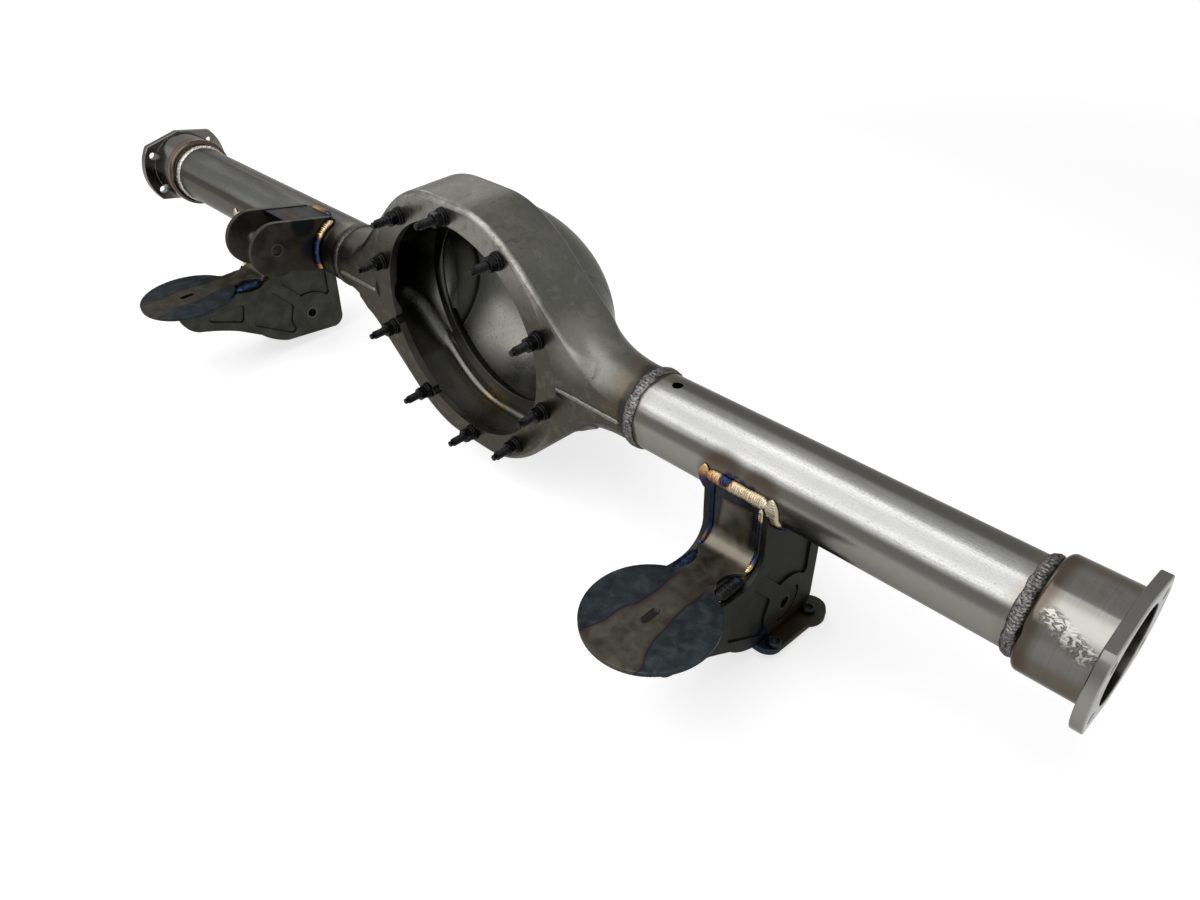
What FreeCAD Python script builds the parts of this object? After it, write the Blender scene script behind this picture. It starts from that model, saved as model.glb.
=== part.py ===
import FreeCAD, Part
import math
import os
from FreeCAD import Vector

# Rear axle housing: a pressed centre bowl with a ten-stud carrier face, two tubes,
# two bearing housing ends, and a spring and link bracket welded under each tube.
# Working axes: X along the axle, -Y towards the carrier face, Z up, axle centre at 0.
# Every shape is shifted on export so that the origin is the centre of the carrier face.

X = Vector(1, 0, 0)
Y = Vector(0, 1, 0)
Z = Vector(0, 0, 1)
O = Vector(0, 0, 0)

# Tubes and bearing housing ends
TUBE_R = 38.1
TUBE_BORE_R = 31.75
HUB_R = 47.0
HUB_LEN = 51.0
HUB_SHOULDER = 5.0
SOCKET_DEPTH = 22.0
BEARING_R = 40.0
BEARING_DEPTH = 26.0
FLANGE_T = 9.5
FLANGE_R = 62.9
FLANGE_CORNER_Y = 48.5
FLANGE_CORNER_Z = 40.0
FLANGE_PEAK_Z = 50.5
FLANGE_HOLE_R = 5.2
FLANGE_PITCH_Y = 88.9
FLANGE_PITCH_Z = 50.8
RIGHT_END_X = 680.5
LEFT_END_X = -716.0
RIGHT_NECK_X = 249.0
WELD_GAP = 0.05
LEFT_NECK_X = -236.0
VENT_X = 276.0
VENT_R = 5.2

# Centre bowl
FACE_Y = -36.0
REAR_Y = 38.0
BOWL_R = 153.0
BOWL_FLAT_DROP = 5.5
BOWL_WALL = 6.0
FACE_T = 9.0
OPENING_R = 122.0
FLANK_ANGLE = 43.5
FLANK_FILLET_R = 55.0
SHOULDER_PLAN_R = 50.0
BELL_X = 112.0
REAR_EDGE_R = 14.0
DOME_X = 150.0
DOME_R = 133.0
DOME_WALL = 5.0
COVER_STEP_R = 120.0
COVER_STEP_Y = 42.0
RING_R = 125.0
RING_IN_R = 111.0
RING_T = 4.0
NOTCH_R = 5.0
NOTCH_ANGLES = (212.0, 256.0)
FRONT_EDGE_R = 6.0
CORNER_R = 100.0

# Carrier studs
STUD_R = 4.76
SHANK_R = 4.5
THREAD_GAP = 0.4
STUD_SIDE_R = 135.0
STUD_TOP_R = 131.2
STUD_ANGLES = (0, 36, 72, 108, 144, 180, 216, 252, 288, 324)
STUD_TIP_Y = -69.9
STUD_DOG_R = 3.3
STUD_DOG_L = 4.5
WASHER_R = 9.6
WASHER_T = 3.0
COLLAR_R = 8.6
COLLAR_T = 2.4
NUT_AF = 14.3
NUT_T = 8.5

# Spring and link brackets, in local X about the bracket centre
RIGHT_BRACKET_X = 377.0
LEFT_BRACKET_X = -445.5
PLATE_OUT_X = 34.0
PLATE_T = 6.35
LINK_HOLE_R = 6.35
LINK_Y = 1.7
LINK_Z = -145.0
SEAT_Z = -70.4
SEAT_T = 4.8
SEAT_R = 60.0
SEAT_Y = -147.0
NECK_Y = -38.5
BEND_R = 16.0
SLOT_L = 21.0
SLOT_W = 8.0
POCKET_DEPTH = 2.2
SHOCK_T = 6.35
SHOCK_TILT = 7.0
SHOCK_OUT_X = 51.0
BOSS_R = 7.0
BOSS_H = 4.5
BOSS_HOLE_R = 4.2
BOSSES = ((44.0, -57.5), (39.0, 5.5))

# Upper link clevis on the left tube
EAR_A_X = -275.2
EAR_B_X = -331.4
EAR_T = 6.35
EAR_Y = -87.7
EAR_Z = 26.5
EAR_R = 33.0
EAR_HOLE_R = 6.35
EAR_SLOPE = 12.6
BRIDGE_T = 4.8

SHIFT = Vector(0, -FACE_Y, 0)
REACH = 400.0
NODES = []


def export(name, shape):
    moved = shape.copy()
    moved.translate(SHIFT)
    moved.exportStep("parts/" + name + ".step")
    NODES.append(name)
    faces = len(moved.Faces)
    box = moved.BoundBox
    print(name, "solids", len(moved.Solids), "faces", faces, "valid", moved.isValid(),
          "X %.1f %.1f Y %.1f %.1f Z %.1f %.1f" % (box.XMin, box.XMax, box.YMin, box.YMax,
                                                  box.ZMin, box.ZMax))


def cyl_x(r, x0, x1, y=0.0, z=0.0):
    return Part.makeCylinder(r, x1 - x0, Vector(x0, y, z), X)


def cyl_y(r, y0, y1, x=0.0, z=0.0):
    return Part.makeCylinder(r, y1 - y0, Vector(x, y0, z), Y)


def cyl_z(r, z0, z1, x=0.0, y=0.0):
    return Part.makeCylinder(r, z1 - z0, Vector(x, y, z0), Z)


def line(a, b):
    return Part.makeLine(a, b)


def arc(a, m, b):
    return Part.Arc(a, m, b).toShape()


def path(points, place):
    # Closed outline from (u, v) corners; a corner given as ("via", u, v) bends the
    # edge that joins its two neighbours into an arc.
    edges = []
    n = len(points)
    i = 0
    while i < n:
        here = points[i]
        nxt = points[(i + 1) % n]
        if nxt[0] == "via":
            after = points[(i + 2) % n]
            edges.append(arc(place(*here), place(nxt[1], nxt[2]), place(*after)))
            i += 2
        else:
            if place(*here).distanceToPoint(place(*nxt)) > 1e-6:
                edges.append(line(place(*here), place(*nxt)))
            i += 1
    return Part.Face(Part.Wire(Part.__sortEdges__(edges)))


def plate_x(points, x0, x1):
    return path(points, lambda y, z: Vector(x0, y, z)).extrude(Vector(x1 - x0, 0, 0))


def plate_z(points, z0, z1):
    return path(points, lambda x, y: Vector(x, y, z0)).extrude(Vector(0, 0, z1 - z0))


def plate_y(points, y0, y1):
    return path(points, lambda x, z: Vector(x, y0, z)).extrude(Vector(0, y1 - y0, 0))


def turned_x(points):
    return path(points, lambda x, r: Vector(x, 0, r)).revolve(O, X, 360)


def turned_y(points):
    return path(points, lambda y, r: Vector(0, y, r)).revolve(O, Y, 360)


def mirror_x(shape):
    return shape.mirror(O, X)


def block_behind(y, half=REACH):
    # Trimming block that keeps what lies behind y and within half either side of centre.
    return Part.makeBox(2 * half, REACH, 2 * REACH, Vector(-half, y, -REACH))


def stud_centres():
    out = []
    for angle in STUD_ANGLES:
        r = STUD_TOP_R if angle in (0, 180) else STUD_SIDE_R
        a = math.radians(angle)
        out.append((r * math.sin(a), r * math.cos(a)))
    return out


# Centre bowl


def bell_arc(inset):
    # Flared neck in profile: it leaves the dome's ellipse at BELL_X on its tangent and
    # runs out along the tube line. Returns its start, half way point and end.
    a = DOME_X - inset
    b = DOME_R - inset
    neck = TUBE_R - inset
    r0 = b * math.sqrt(1 - (BELL_X / a) ** 2)
    phi = math.atan(b * b * BELL_X / (a * a * r0))
    rho = (r0 - neck) / (1 - math.cos(phi))
    cx = BELL_X + rho * math.sin(phi)
    mid = (cx - rho * math.sin(phi / 2), neck + rho - rho * math.cos(phi / 2))
    return (BELL_X, r0), mid, (cx, neck)


def bell(inset):
    start, mid, end = bell_arc(inset)
    pts = [(start[0], 0), start, ("via",) + mid, end, (270.0, end[1]), (270.0, 0)]
    return turned_x(pts)


def dome(inset):
    # Egg shape turned about the axle.
    a = DOME_X - inset
    b = DOME_R - inset
    half = Part.ArcOfEllipse(Part.Ellipse(O, a, b), 0, math.pi).toShape()
    face = Part.Face(Part.Wire([half, line(Vector(-a, 0, 0), Vector(a, 0, 0))]))
    return face.revolve(O, X, 360)


def ease(shape, y, r, skip_x):
    # Round the edges that lie in the plane y, except those that end the part at skip_x.
    chain = []
    for e in shape.Edges:
        b = e.BoundBox
        level = abs(b.YMin - y) < 0.01 and abs(b.YMax - y) < 0.01
        at_end = b.XMax - b.XMin < 0.01 and any(abs(b.XMax - x) < 0.1 for x in skip_x)
        inward = min(abs(b.ZMin), abs(b.ZMax)) < 0.01
        if level and not at_end and not inward:
            chain.append(e)
    return shape.makeFillet(r, chain)


def drum(inset, y0, y1, r_front, r_rear):
    # Round drum with a flat stretch at the top and the bottom.
    r = BOWL_R - inset
    z = r - BOWL_FLAT_DROP
    x = math.sqrt(r * r - z * z)
    pts = [(-x, z), (x, z), ("via", r, 0), (x, -z), (-x, -z), ("via", -r, 0)]
    body = plate_y(pts, y0, y1)
    corners = [e for e in body.Edges if e.BoundBox.XMax - e.BoundBox.XMin < 0.01
               and e.BoundBox.ZMax - e.BoundBox.ZMin < 0.01
               and abs(e.BoundBox.XMax) < r - 1]
    body = body.makeFillet(CORNER_R, corners)
    body = ease(body, y1, r_rear, ())
    if r_front > 0:
        body = ease(body, y0, r_front, ())
    return body


def shoulder(inset, y0, y1, r_front, r_rear):
    # Front part of a neck: straight flanks off the drum that run out into the tube. It
    # ends inside the drum on two radii, so that its rounded edges meet the drum's own.
    a = math.radians(FLANK_ANGLE)
    r = BOWL_R - inset
    neck = TUBE_R - inset
    rf = FLANK_FILLET_R + inset
    xn = (r - math.cos(a) * neck) / math.sin(a)
    t = rf * math.tan(a / 2)
    p0 = (r * math.sin(a), r * math.cos(a))
    p1 = (xn - t * math.cos(a), neck + t * math.sin(a))
    pm = (xn + t - rf * math.sin(a / 2), neck + rf - rf * math.cos(a / 2))
    p2 = (xn + t, neck)
    pts = [(0, 0), p0, p1, ("via",) + pm, p2, (p2[0], -p2[1]), ("via", pm[0], -pm[1]),
           (p1[0], -p1[1]), (p0[0], -p0[1])]
    body = plate_y(pts, y0, y1)
    # In plan the shoulder's back runs off towards the front as it nears the tube.
    rho = SHOULDER_PLAN_R - inset
    xc = 150.0
    plan = plate_z([(0, y0 - 1), (xc + rho, y0 - 1), (xc + rho, y1 - rho),
                    ("via", xc + rho * math.sqrt(0.5), y1 - rho + rho * math.sqrt(0.5)),
                    (xc, y1), (0, y1)], -200, 200)
    body = body.common(plan)
    edges = []
    for e in body.Edges:
        b = e.BoundBox
        tall = b.ZMax - b.ZMin > 60 and b.XMax - b.XMin < 0.01
        if b.YMax > y1 - rho + 1 and b.YMin > y1 - rho - 1 and not tall:
            if b.YMax - b.YMin < 0.01 or b.YMin > y0 + 5:
                edges.append(e)
    edges = [e for e in edges if min(abs(e.BoundBox.ZMin), abs(e.BoundBox.ZMax)) > 20]
    body = body.makeFillet(r_rear, edges)
    if r_front > 0:
        body = ease(body, y0, r_front, (xc + rho,))
    k = inset
    cone = turned_x([(0, 0), (0, 240.0), (138.0, 240.0), (138.0, 88.0 - k),
                     (146.0, 80.0 - k), (185.0, 50.5 - k),
                     ("via", 196.0, 44.4 - k), (209.0, 41.4 - k), (260.0, 41.4 - k),
                     (260.0, 0)])
    return body.common(cone)


def pair(shape):
    return [shape, mirror_x(shape)]


def housing_body():
    keep = block_behind(FACE_Y)
    horn = bell(0).common(keep)
    outer = drum(0, FACE_Y, REAR_Y, FRONT_EDGE_R, REAR_EDGE_R)
    outer = outer.fuse(pair(shoulder(0, FACE_Y, REAR_Y, FRONT_EDGE_R, REAR_EDGE_R)))
    outer = outer.fuse(pair(horn))
    pipe = cyl_x(TUBE_R, -260, -60).fuse(cyl_x(TUBE_R, 60, 260))
    proud = pipe.cut(cyl_y(BOWL_R - 2.0, FACE_Y - 10, FACE_Y))
    outer = outer.fuse(proud)
    ends = Part.makeBox(RIGHT_NECK_X - LEFT_NECK_X, 2 * REACH, 2 * REACH,
                        Vector(LEFT_NECK_X, -REACH, -REACH))
    outer = outer.common(ends)

    y0 = FACE_Y + FACE_T
    y1 = REAR_Y - BOWL_WALL
    behind = block_behind(y0)
    inner = drum(BOWL_WALL, y0, y1, 0, REAR_EDGE_R - 5.0)
    inner = inner.fuse(pair(shoulder(BOWL_WALL, y0, y1, 0, REAR_EDGE_R - 5.0)))
    inner = inner.fuse(pair(bell(BOWL_WALL).common(behind)))
    inner = inner.fuse(dome(0).common(block_behind(y1, BELL_X)))
    inner = inner.fuse(cyl_x(TUBE_R - BOWL_WALL, -300, 300))
    inner = inner.fuse(cyl_x(TUBE_BORE_R, -300, 300))
    shell = outer.cut(inner)
    holes = [cyl_y(OPENING_R, FACE_Y - 1, y0 + 1)]
    for x, z in stud_centres():
        holes.append(cyl_y(SHANK_R, FACE_Y - 1, y0 + 1, x, z))
    for angle in NOTCH_ANGLES:
        a = math.radians(angle)
        holes.append(cyl_y(NOTCH_R, FACE_Y - 1, y0 + 1,
                           OPENING_R * math.sin(a), OPENING_R * math.cos(a)))
    shell = shell.cut(holes)
    solids = sorted(shell.Solids, key=lambda s: -s.Volume)
    return solids[0].removeSplitter()


def rear_cover(body):
    # Dome with a step where it starts, behind the stiffening ring.
    y_back = REAR_Y - BOWL_WALL
    hollow = dome(DOME_WALL).common(block_behind(COVER_STEP_Y))
    cover = dome(0).common(block_behind(y_back, BELL_X))
    cover = cover.cut(hollow.fuse(cyl_y(COVER_STEP_R, y_back - 1, COVER_STEP_Y + 1)))
    cover = cover.cut(body)
    solids = sorted(cover.Solids, key=lambda s: -s.Volume)
    return solids[0]


def inner_ring(body):
    # Flat stiffening ring on the front of the cover. At the sides it runs free, behind the
    # way of the shafts.
    y_back = REAR_Y - BOWL_WALL
    ring = cyl_y(RING_R, y_back - RING_T, y_back)
    return ring.cut(cyl_y(RING_IN_R, y_back - RING_T - 1, y_back + 1)).cut(body)


def cover_weld(body, cover):
    # Bead along the line where the dome leaves the drum's back, above and below.
    k = math.sqrt(1 - (REAR_Y / DOME_R) ** 2)
    a, b = DOME_X * k + 1.0, DOME_R * k + 1.0
    # The curve's own frame has its long axis on X and its normal along -Y.
    curve = Part.Ellipse(O, a, b)
    curve.rotate(FreeCAD.Placement(O, FreeCAD.Rotation(X, 90)))
    curve.translate(Vector(0, REAR_Y + 0.4, 0))
    t = math.acos((BELL_X - 1.0) / a)
    out = []
    for t0, t1 in ((t, math.pi - t), (math.pi + t, 2 * math.pi - t)):
        edge = Part.ArcOfEllipse(curve, t0, t1).toShape()
        start = edge.valueAt(edge.FirstParameter)
        way = edge.tangentAt(edge.FirstParameter)
        ring = Part.Wire(Part.makeCircle(3.0, start, way))
        bead = Part.Wire(edge).makePipeShell([ring], True, True)
        bead = bead.cut(body).cut(cover)
        behind = bead.common(block_behind(REAR_Y - 0.5))
        solids = sorted(behind.Solids, key=lambda s: -s.Volume)
        out.append(solids[0])
    return Part.makeCompound(out)


def seam_bead(x0, x1, body):
    rod = cyl_x(2.2, x0, x1, -TUBE_R + 0.4, -2.0)
    rod = rod.fuse([Part.makeSphere(2.2, Vector(x0, -TUBE_R + 0.4, -2.0)),
                    Part.makeSphere(2.2, Vector(x1, -TUBE_R + 0.4, -2.0))])
    cut = rod.cut(body)
    solids = sorted(cut.Solids, key=lambda s: -s.Volume)
    return solids[0]


# Tubes, joint welds and bearing housing ends


def tube(x0, x1):
    return cyl_x(TUBE_R, x0, x1).cut(cyl_x(TUBE_BORE_R, x0 - 1, x1 + 1))


def band_weld(x, half, crown):
    pts = [(x - half, TUBE_R), ("via", x, TUBE_R + crown), (x + half, TUBE_R)]
    return turned_x(pts)


def housing_end():
    # Outer face at x = 0, hub reaching to x = -(HUB_LEN + FLANGE_T).
    back = -(HUB_LEN + FLANGE_T)
    s = HUB_SHOULDER
    k = s * (1 - math.sqrt(0.5))
    profile = [(back, TUBE_R), (back, HUB_R - s), ("via", back + k, HUB_R - k),
               (back + s, HUB_R), (0, HUB_R), (0, BEARING_R), (-BEARING_DEPTH, BEARING_R),
               (-BEARING_DEPTH, TUBE_BORE_R), (back + SOCKET_DEPTH, TUBE_BORE_R),
               (back + SOCKET_DEPTH, TUBE_R)]
    hub = turned_x(profile)
    cy, cz = FLANGE_CORNER_Y, FLANGE_CORNER_Z
    outline = [(-cy, cz), (0, FLANGE_PEAK_Z), (cy, cz), ("via", FLANGE_R, 0), (cy, -cz),
               (0, -FLANGE_PEAK_Z), (-cy, -cz), ("via", -FLANGE_R, 0)]
    plate = plate_x(outline, -FLANGE_T, 0)
    plate = plate.cut(cyl_x(HUB_R - 2, -FLANGE_T - 1, 1))
    body = hub.fuse(plate)
    for sy in (-1, 1):
        for sz in (-1, 1):
            body = body.cut(cyl_x(FLANGE_HOLE_R, -FLANGE_T - 1, 1, sy * FLANGE_PITCH_Y / 2,
                                  sz * FLANGE_PITCH_Z / 2))
    body = body.removeSplitter()
    rim = []
    for e in body.Edges:
        b = e.BoundBox
        flat = b.XMax - b.XMin < 0.01
        wide = max(abs(b.YMin), abs(b.YMax), abs(b.ZMin), abs(b.ZMax)) > HUB_R + 2.4
        small = isinstance(e.Curve, Part.Circle) and e.Curve.Radius < 10
        if flat and wide and not small:
            rim.append(e)
    return body.makeChamfer(0.8, rim)


def end_weld():
    back = -(HUB_LEN + FLANGE_T)
    pts = [(back - 13.0, TUBE_R), ("via", back - 6.5, TUBE_R + 3.4), (back, TUBE_R + 3.4),
           (back, TUBE_R)]
    return turned_x(pts)


# Carrier studs


def stud(x, z):
    # Plain shank through the wall and the nut, full thread beyond the nut, then a dog point.
    tip = STUD_TIP_Y
    neck = tip + STUD_DOG_L
    inner = FACE_Y + FACE_T
    free = FACE_Y - WASHER_T - COLLAR_T - NUT_T - THREAD_GAP
    pts = [(inner, 0), (inner, SHANK_R), (free, SHANK_R),
           (free - STUD_R + SHANK_R, STUD_R), (neck + 1.2, STUD_R), (neck, STUD_DOG_R),
           (tip + 0.7, STUD_DOG_R), (tip, STUD_DOG_R - 0.7), (tip, 0)]
    body = turned_y(pts)
    body.translate(Vector(x, 0, z))
    return body


def ring(r_out, r_in, y0, y1, x, z, soft=0.5):
    pts = [(y0, r_in), (y0, r_out - soft), (y0 + soft, r_out), (y1, r_out), (y1, r_in)]
    body = turned_y(pts)
    body.translate(Vector(x, 0, z))
    return body


def hex_nut(x, z, y0, y1, turn):
    r = NUT_AF / math.sqrt(3)
    pts = []
    for i in range(6):
        a = math.radians(60 * i + turn)
        pts.append((r * math.cos(a), r * math.sin(a)))
    body = plate_y(pts, y0, y1)
    cone = turned_y([(y0, 0), (y0, NUT_AF / 2), (y0 + 1.2, r + 0.2), (y1, r + 0.2), (y1, 0)])
    body = body.common(cone).cut(cyl_y(SHANK_R, y0 - 1, y1 + 1))
    body.translate(Vector(x, 0, z))
    return body


# Brackets


def side_plate(outboard):
    # Outer face at +X; the profile is in (y, z).
    bottom = SEAT_Z - SEAT_T
    profile = [(-40.0, -3.0), (-40.0, -50.0), ("via", -46.5, -71.5), (-66.0, -81.0),
               ("via", -84.0, -79.5), (-99.0, bottom), (-178.0, bottom),
               ("via", -170.5, -99.0), (-158.0, -108.0), ("via", -132.0, -117.0),
               (-107.0, -128.5), (-79.0, -146.5), ("via", -62.5, -160.5), (-43.0, -170.5),
               (33.0, -179.8), ("via", 43.5, -174.5), (47.5, -163.0), (50.0, -112.0),
               (50.0, -18.0), (41.0, -3.0)]
    plate = plate_x(profile, PLATE_OUT_X - PLATE_T, PLATE_OUT_X)
    plate = plate.cut(cyl_x(TUBE_R, 0, 100))
    plate = plate.cut(cyl_x(LINK_HOLE_R, 0, 100, LINK_Y, LINK_Z))
    deep = PLATE_OUT_X - POCKET_DEPTH
    pockets = [
        [(-48.0, -93.0), (-25.7, -119.0), ("via", -23.6, -122.5), (-23.6, -127.0),
         (-29.5, -143.0), ("via", -29.6, -147.5), (-26.8, -157.0), ("via", -29.5, -162.0),
         (-37.0, -161.0), (-80.0, -133.5), ("via", -83.8, -129.0), (-83.6, -124.0),
         (-76.1, -97.5)],
        [(-23.0, -66.0), (25.0, -66.0), ("via", 34.0, -70.0), (35.8, -80.0),
         (34.2, -122.0), ("via", 31.5, -126.5), (26.5, -124.5), ("via", 14.0, -117.0),
         (-9.0, -115.1), (-32.2, -88.0), ("via", -32.6, -83.0), (-30.0, -76.0)],
        [(-96.0, -92.5), ("via", -92.6, -95.5), (-92.8, -101.5), (-96.0, -114.0),
         ("via", -99.0, -117.4), (-103.5, -116.6), (-139.0, -101.5),
         ("via", -142.5, -97.5), (-141.0, -92.5)],
    ]
    for pts in pockets:
        plate = plate.cut(plate_x(pts, deep, PLATE_OUT_X + 1))
    if outboard:
        r0, r1 = 18.6, 21.4
        a0, a1 = math.radians(-117), math.radians(31)
        am = (a0 + a1) / 2
        c = [(LINK_Y + r * math.cos(a), LINK_Z + r * math.sin(a))
             for r, a in ((r0, a0), (r0, am), (r0, a1), (r1, a1), (r1, am), (r1, a0))]
        groove = plate_x([c[0], ("via",) + c[1], c[2], c[3], ("via",) + c[4], c[5]],
                         deep, PLATE_OUT_X + 1)
        plate = plate.cut(groove)
    return plate


def spring_seat():
    # One bent plate: an upright neck on the tube, a bend, and the round seat.
    half = PLATE_OUT_X - PLATE_T
    low = SEAT_Z - SEAT_T
    cy, cz = NECK_Y - BEND_R, SEAT_Z + BEND_R
    ri, ro = BEND_R, BEND_R + SEAT_T
    q = math.sqrt(0.5)
    side = [(NECK_Y, -3.0), (NECK_Y, cz), ("via", cy + ri * q, cz - ri * q), (cy, SEAT_Z),
            (-90.0, SEAT_Z), (-90.0, low), (cy, low), ("via", cy + ro * q, cz - ro * q),
            (NECK_Y + SEAT_T, cz), (NECK_Y + SEAT_T, -3.0)]
    neck = plate_x(side, -half, half)
    strip = plate_z([(-half, -56.0), (half, -56.0), ("via", 15.5, -77.0), (33.0, -96.9),
                     (33.0, -110.0), (-33.0, -110.0), (-33.0, -96.9),
                     ("via", -15.5, -77.0)], low, SEAT_Z)
    keep = Part.makeBox(200, 80, 200, Vector(-100, -56.0, -150))
    disc = cyl_z(SEAT_R, low, SEAT_Z, 0, SEAT_Y)
    body = neck.common(keep).fuse(strip).fuse(disc)
    r = SLOT_W / 2
    run = SLOT_L / 2 - r
    slot = plate_z([(-r, SEAT_Y - run), ("via", 0, SEAT_Y - run - r), (r, SEAT_Y - run),
                    (r, SEAT_Y + run), ("via", 0, SEAT_Y + run + r), (-r, SEAT_Y + run)],
                   low - 1, SEAT_Z + 1)
    body = body.cut(slot).cut(cyl_x(TUBE_R, -100, 100))
    body = body.removeSplitter()
    rim = [e for e in body.Edges if isinstance(e.Curve, Part.Circle)
           and abs(e.Curve.Radius - SEAT_R) < 0.01 and e.BoundBox.ZMax - e.BoundBox.ZMin < 0.01]
    return body.makeFillet(0.6, rim)


def tilted(shape):
    # Lay a flat piece drawn at z = 0 along the sloping lower edge of the side plates.
    shape.rotate(O, X, -SHOCK_TILT)
    shape.translate(Vector(0, 33.0, -179.8))
    return shape


def shock_plate():
    out = SHOCK_OUT_X
    pts = [(10.0, -72.0), (37.0, -72.0), ("via", 47.5, -67.0), (out, -57.0),
           (out, -8.0), ("via", 55.5, 5.0), (49.5, 21.0), ("via", 37.0, 28.5),
           (25.0, 23.0), (16.0, 12.0), (10.0, 12.0)]
    body = plate_z(pts, -SHOCK_T, 0)
    for x, y in BOSSES:
        body = body.cut(cyl_z(BOSS_HOLE_R, -SHOCK_T - 1, 1, x, y))
    return tilted(body)


def shock_bosses():
    out = []
    for x, y in BOSSES:
        body = cyl_z(BOSS_R, 0, BOSS_H, x, y)
        top = [e for e in body.Edges if e.BoundBox.ZMin > BOSS_H - 0.01]
        body = body.makeFillet(1.6, top)
        body = body.cut(cyl_z(BOSS_HOLE_R, -1, BOSS_H + 1, x, y))
        out.append(tilted(body))
    return Part.makeCompound(out)


def arc_bead(x, r_bead, a0, a1, y_side=-1, lift=0.9):
    # Bead that follows the tube skin; the angle runs from the top towards -Y.
    rc = TUBE_R + lift
    start = Vector(x, 0, rc)
    wire = Part.Wire(Part.makeCircle(r_bead, start, Y))
    bead = Part.Face(wire).revolve(O, X, y_side * -1 * (a1 - a0))
    bead.rotate(O, X, y_side * -1 * a0)
    caps = []
    for a in (a0, a1):
        t = math.radians(a)
        c = Vector(x, y_side * rc * math.sin(t), rc * math.cos(t))
        caps.append(Part.makeSphere(r_bead, c))
    return bead.fuse(caps)


def rod_bead(a, b, r):
    d = b.sub(a)
    body = Part.makeCylinder(r, d.Length, a, d)
    return body.fuse([Part.makeSphere(r, a), Part.makeSphere(r, b)])


def trim(beads, others):
    out = []
    for bead in beads:
        cut = bead
        for other in others:
            cut = cut.cut(other)
        solids = sorted(cut.Solids, key=lambda s: -s.Volume)
        out.append(solids[0])
    return out


def bracket_welds(pieces):
    half = PLATE_OUT_X - PLATE_T
    pipe = cyl_x(TUBE_R, -120, 120)
    core = TUBE_R + 0.9
    beads = []
    for s in (-1, 1):
        beads.append(arc_bead(s * (PLATE_OUT_X + 2.2), 5.0, 88, 165, -1, 0.4))
        beads.append(rod_bead(Vector(s * (half - 1.4), NECK_Y - 0.6, -10.0),
                              Vector(s * (half - 1.4), NECK_Y - 0.6, SEAT_Z + BEND_R), 2.6))
        beads.append(arc_bead(s * (PLATE_OUT_X + 0.8), 3.0, 100, 140, 1))
        beads.append(rod_bead(Vector(s * 23.9, -60.0, SEAT_Z - 5.6),
                              Vector(s * 23.9, -91.0, SEAT_Z - 5.6), 4.4))
    beads.append(rod_bead(Vector(-half - 3.0, -core - 0.6, -1.0),
                          Vector(half + 3.0, -core - 0.6, -1.0), 4.6))
    return Part.makeCompound(trim(beads, [pipe] + pieces))


# Upper link clevis


def link_ear(x_out):
    t = math.radians(EAR_SLOPE)
    top = (EAR_Y + EAR_R * math.sin(t), EAR_Z + EAR_R * math.cos(t))
    u = math.radians(20)
    low = (EAR_Y + EAR_R * math.sin(u), EAR_Z - EAR_R * math.cos(u))
    y1 = -9.0
    profile = [top, ("via", EAR_Y - EAR_R, EAR_Z), low, (-30.0, -21.5), (-20.0, 0.0),
               (-2.0, 36.0), (y1 + 2.5, 39.5), (y1, top[1] - (y1 - top[0]) * math.tan(t))]
    plate = plate_x(profile, x_out - EAR_T, x_out)
    plate = plate.cut(cyl_x(TUBE_R, x_out - 50, x_out + 50))
    plate = plate.cut(cyl_x(EAR_HOLE_R, x_out - 50, x_out + 50, EAR_Y, EAR_Z))
    solids = sorted(plate.Solids, key=lambda s: -s.Volume)
    return solids[0]


def link_bridge():
    t = math.radians(EAR_SLOPE)
    top = (EAR_Y + EAR_R * math.sin(t), EAR_Z + EAR_R * math.cos(t))
    y0, y1 = -66.0, -6.0
    z0 = top[1] - (y0 - top[0]) * math.tan(t) - 1.0
    z1 = top[1] - (y1 - top[0]) * math.tan(t) - 1.0
    dy, dz = -BRIDGE_T * math.sin(t), -BRIDGE_T * math.cos(t)
    pts = [(y0, z0), (y1, z1), (y1 + dy, z1 + dz), (y0 + dy, z0 + dz)]
    body = plate_x(pts, EAR_B_X, EAR_A_X - EAR_T)
    body = body.cut(cyl_x(TUBE_R, EAR_B_X - 5, EAR_A_X + 5))
    solids = sorted(body.Solids, key=lambda s: -s.Volume)
    return solids[0]


def link_welds(pieces):
    pipe = cyl_x(TUBE_R, EAR_B_X - 40, EAR_A_X + 40)
    beads = [arc_bead(EAR_A_X + 2.4, 5.2, 14, 112, -1, 1.8),
             arc_bead(EAR_B_X - EAR_T - 2.4, 5.2, 14, 112, -1, 1.8),
             rod_bead(Vector(EAR_B_X + 5.0, -4.0, TUBE_R + 2.2),
                      Vector(EAR_A_X - EAR_T - 5.0, -4.0, TUBE_R + 2.2), 3.8)]
    return Part.makeCompound(trim(beads, [pipe] + pieces))


def place_bracket(shape, right):
    if right:
        moved = shape.copy()
        moved.translate(Vector(RIGHT_BRACKET_X, 0, 0))
        return moved
    moved = mirror_x(shape)
    moved.translate(Vector(LEFT_BRACKET_X, 0, 0))
    return moved


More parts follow.
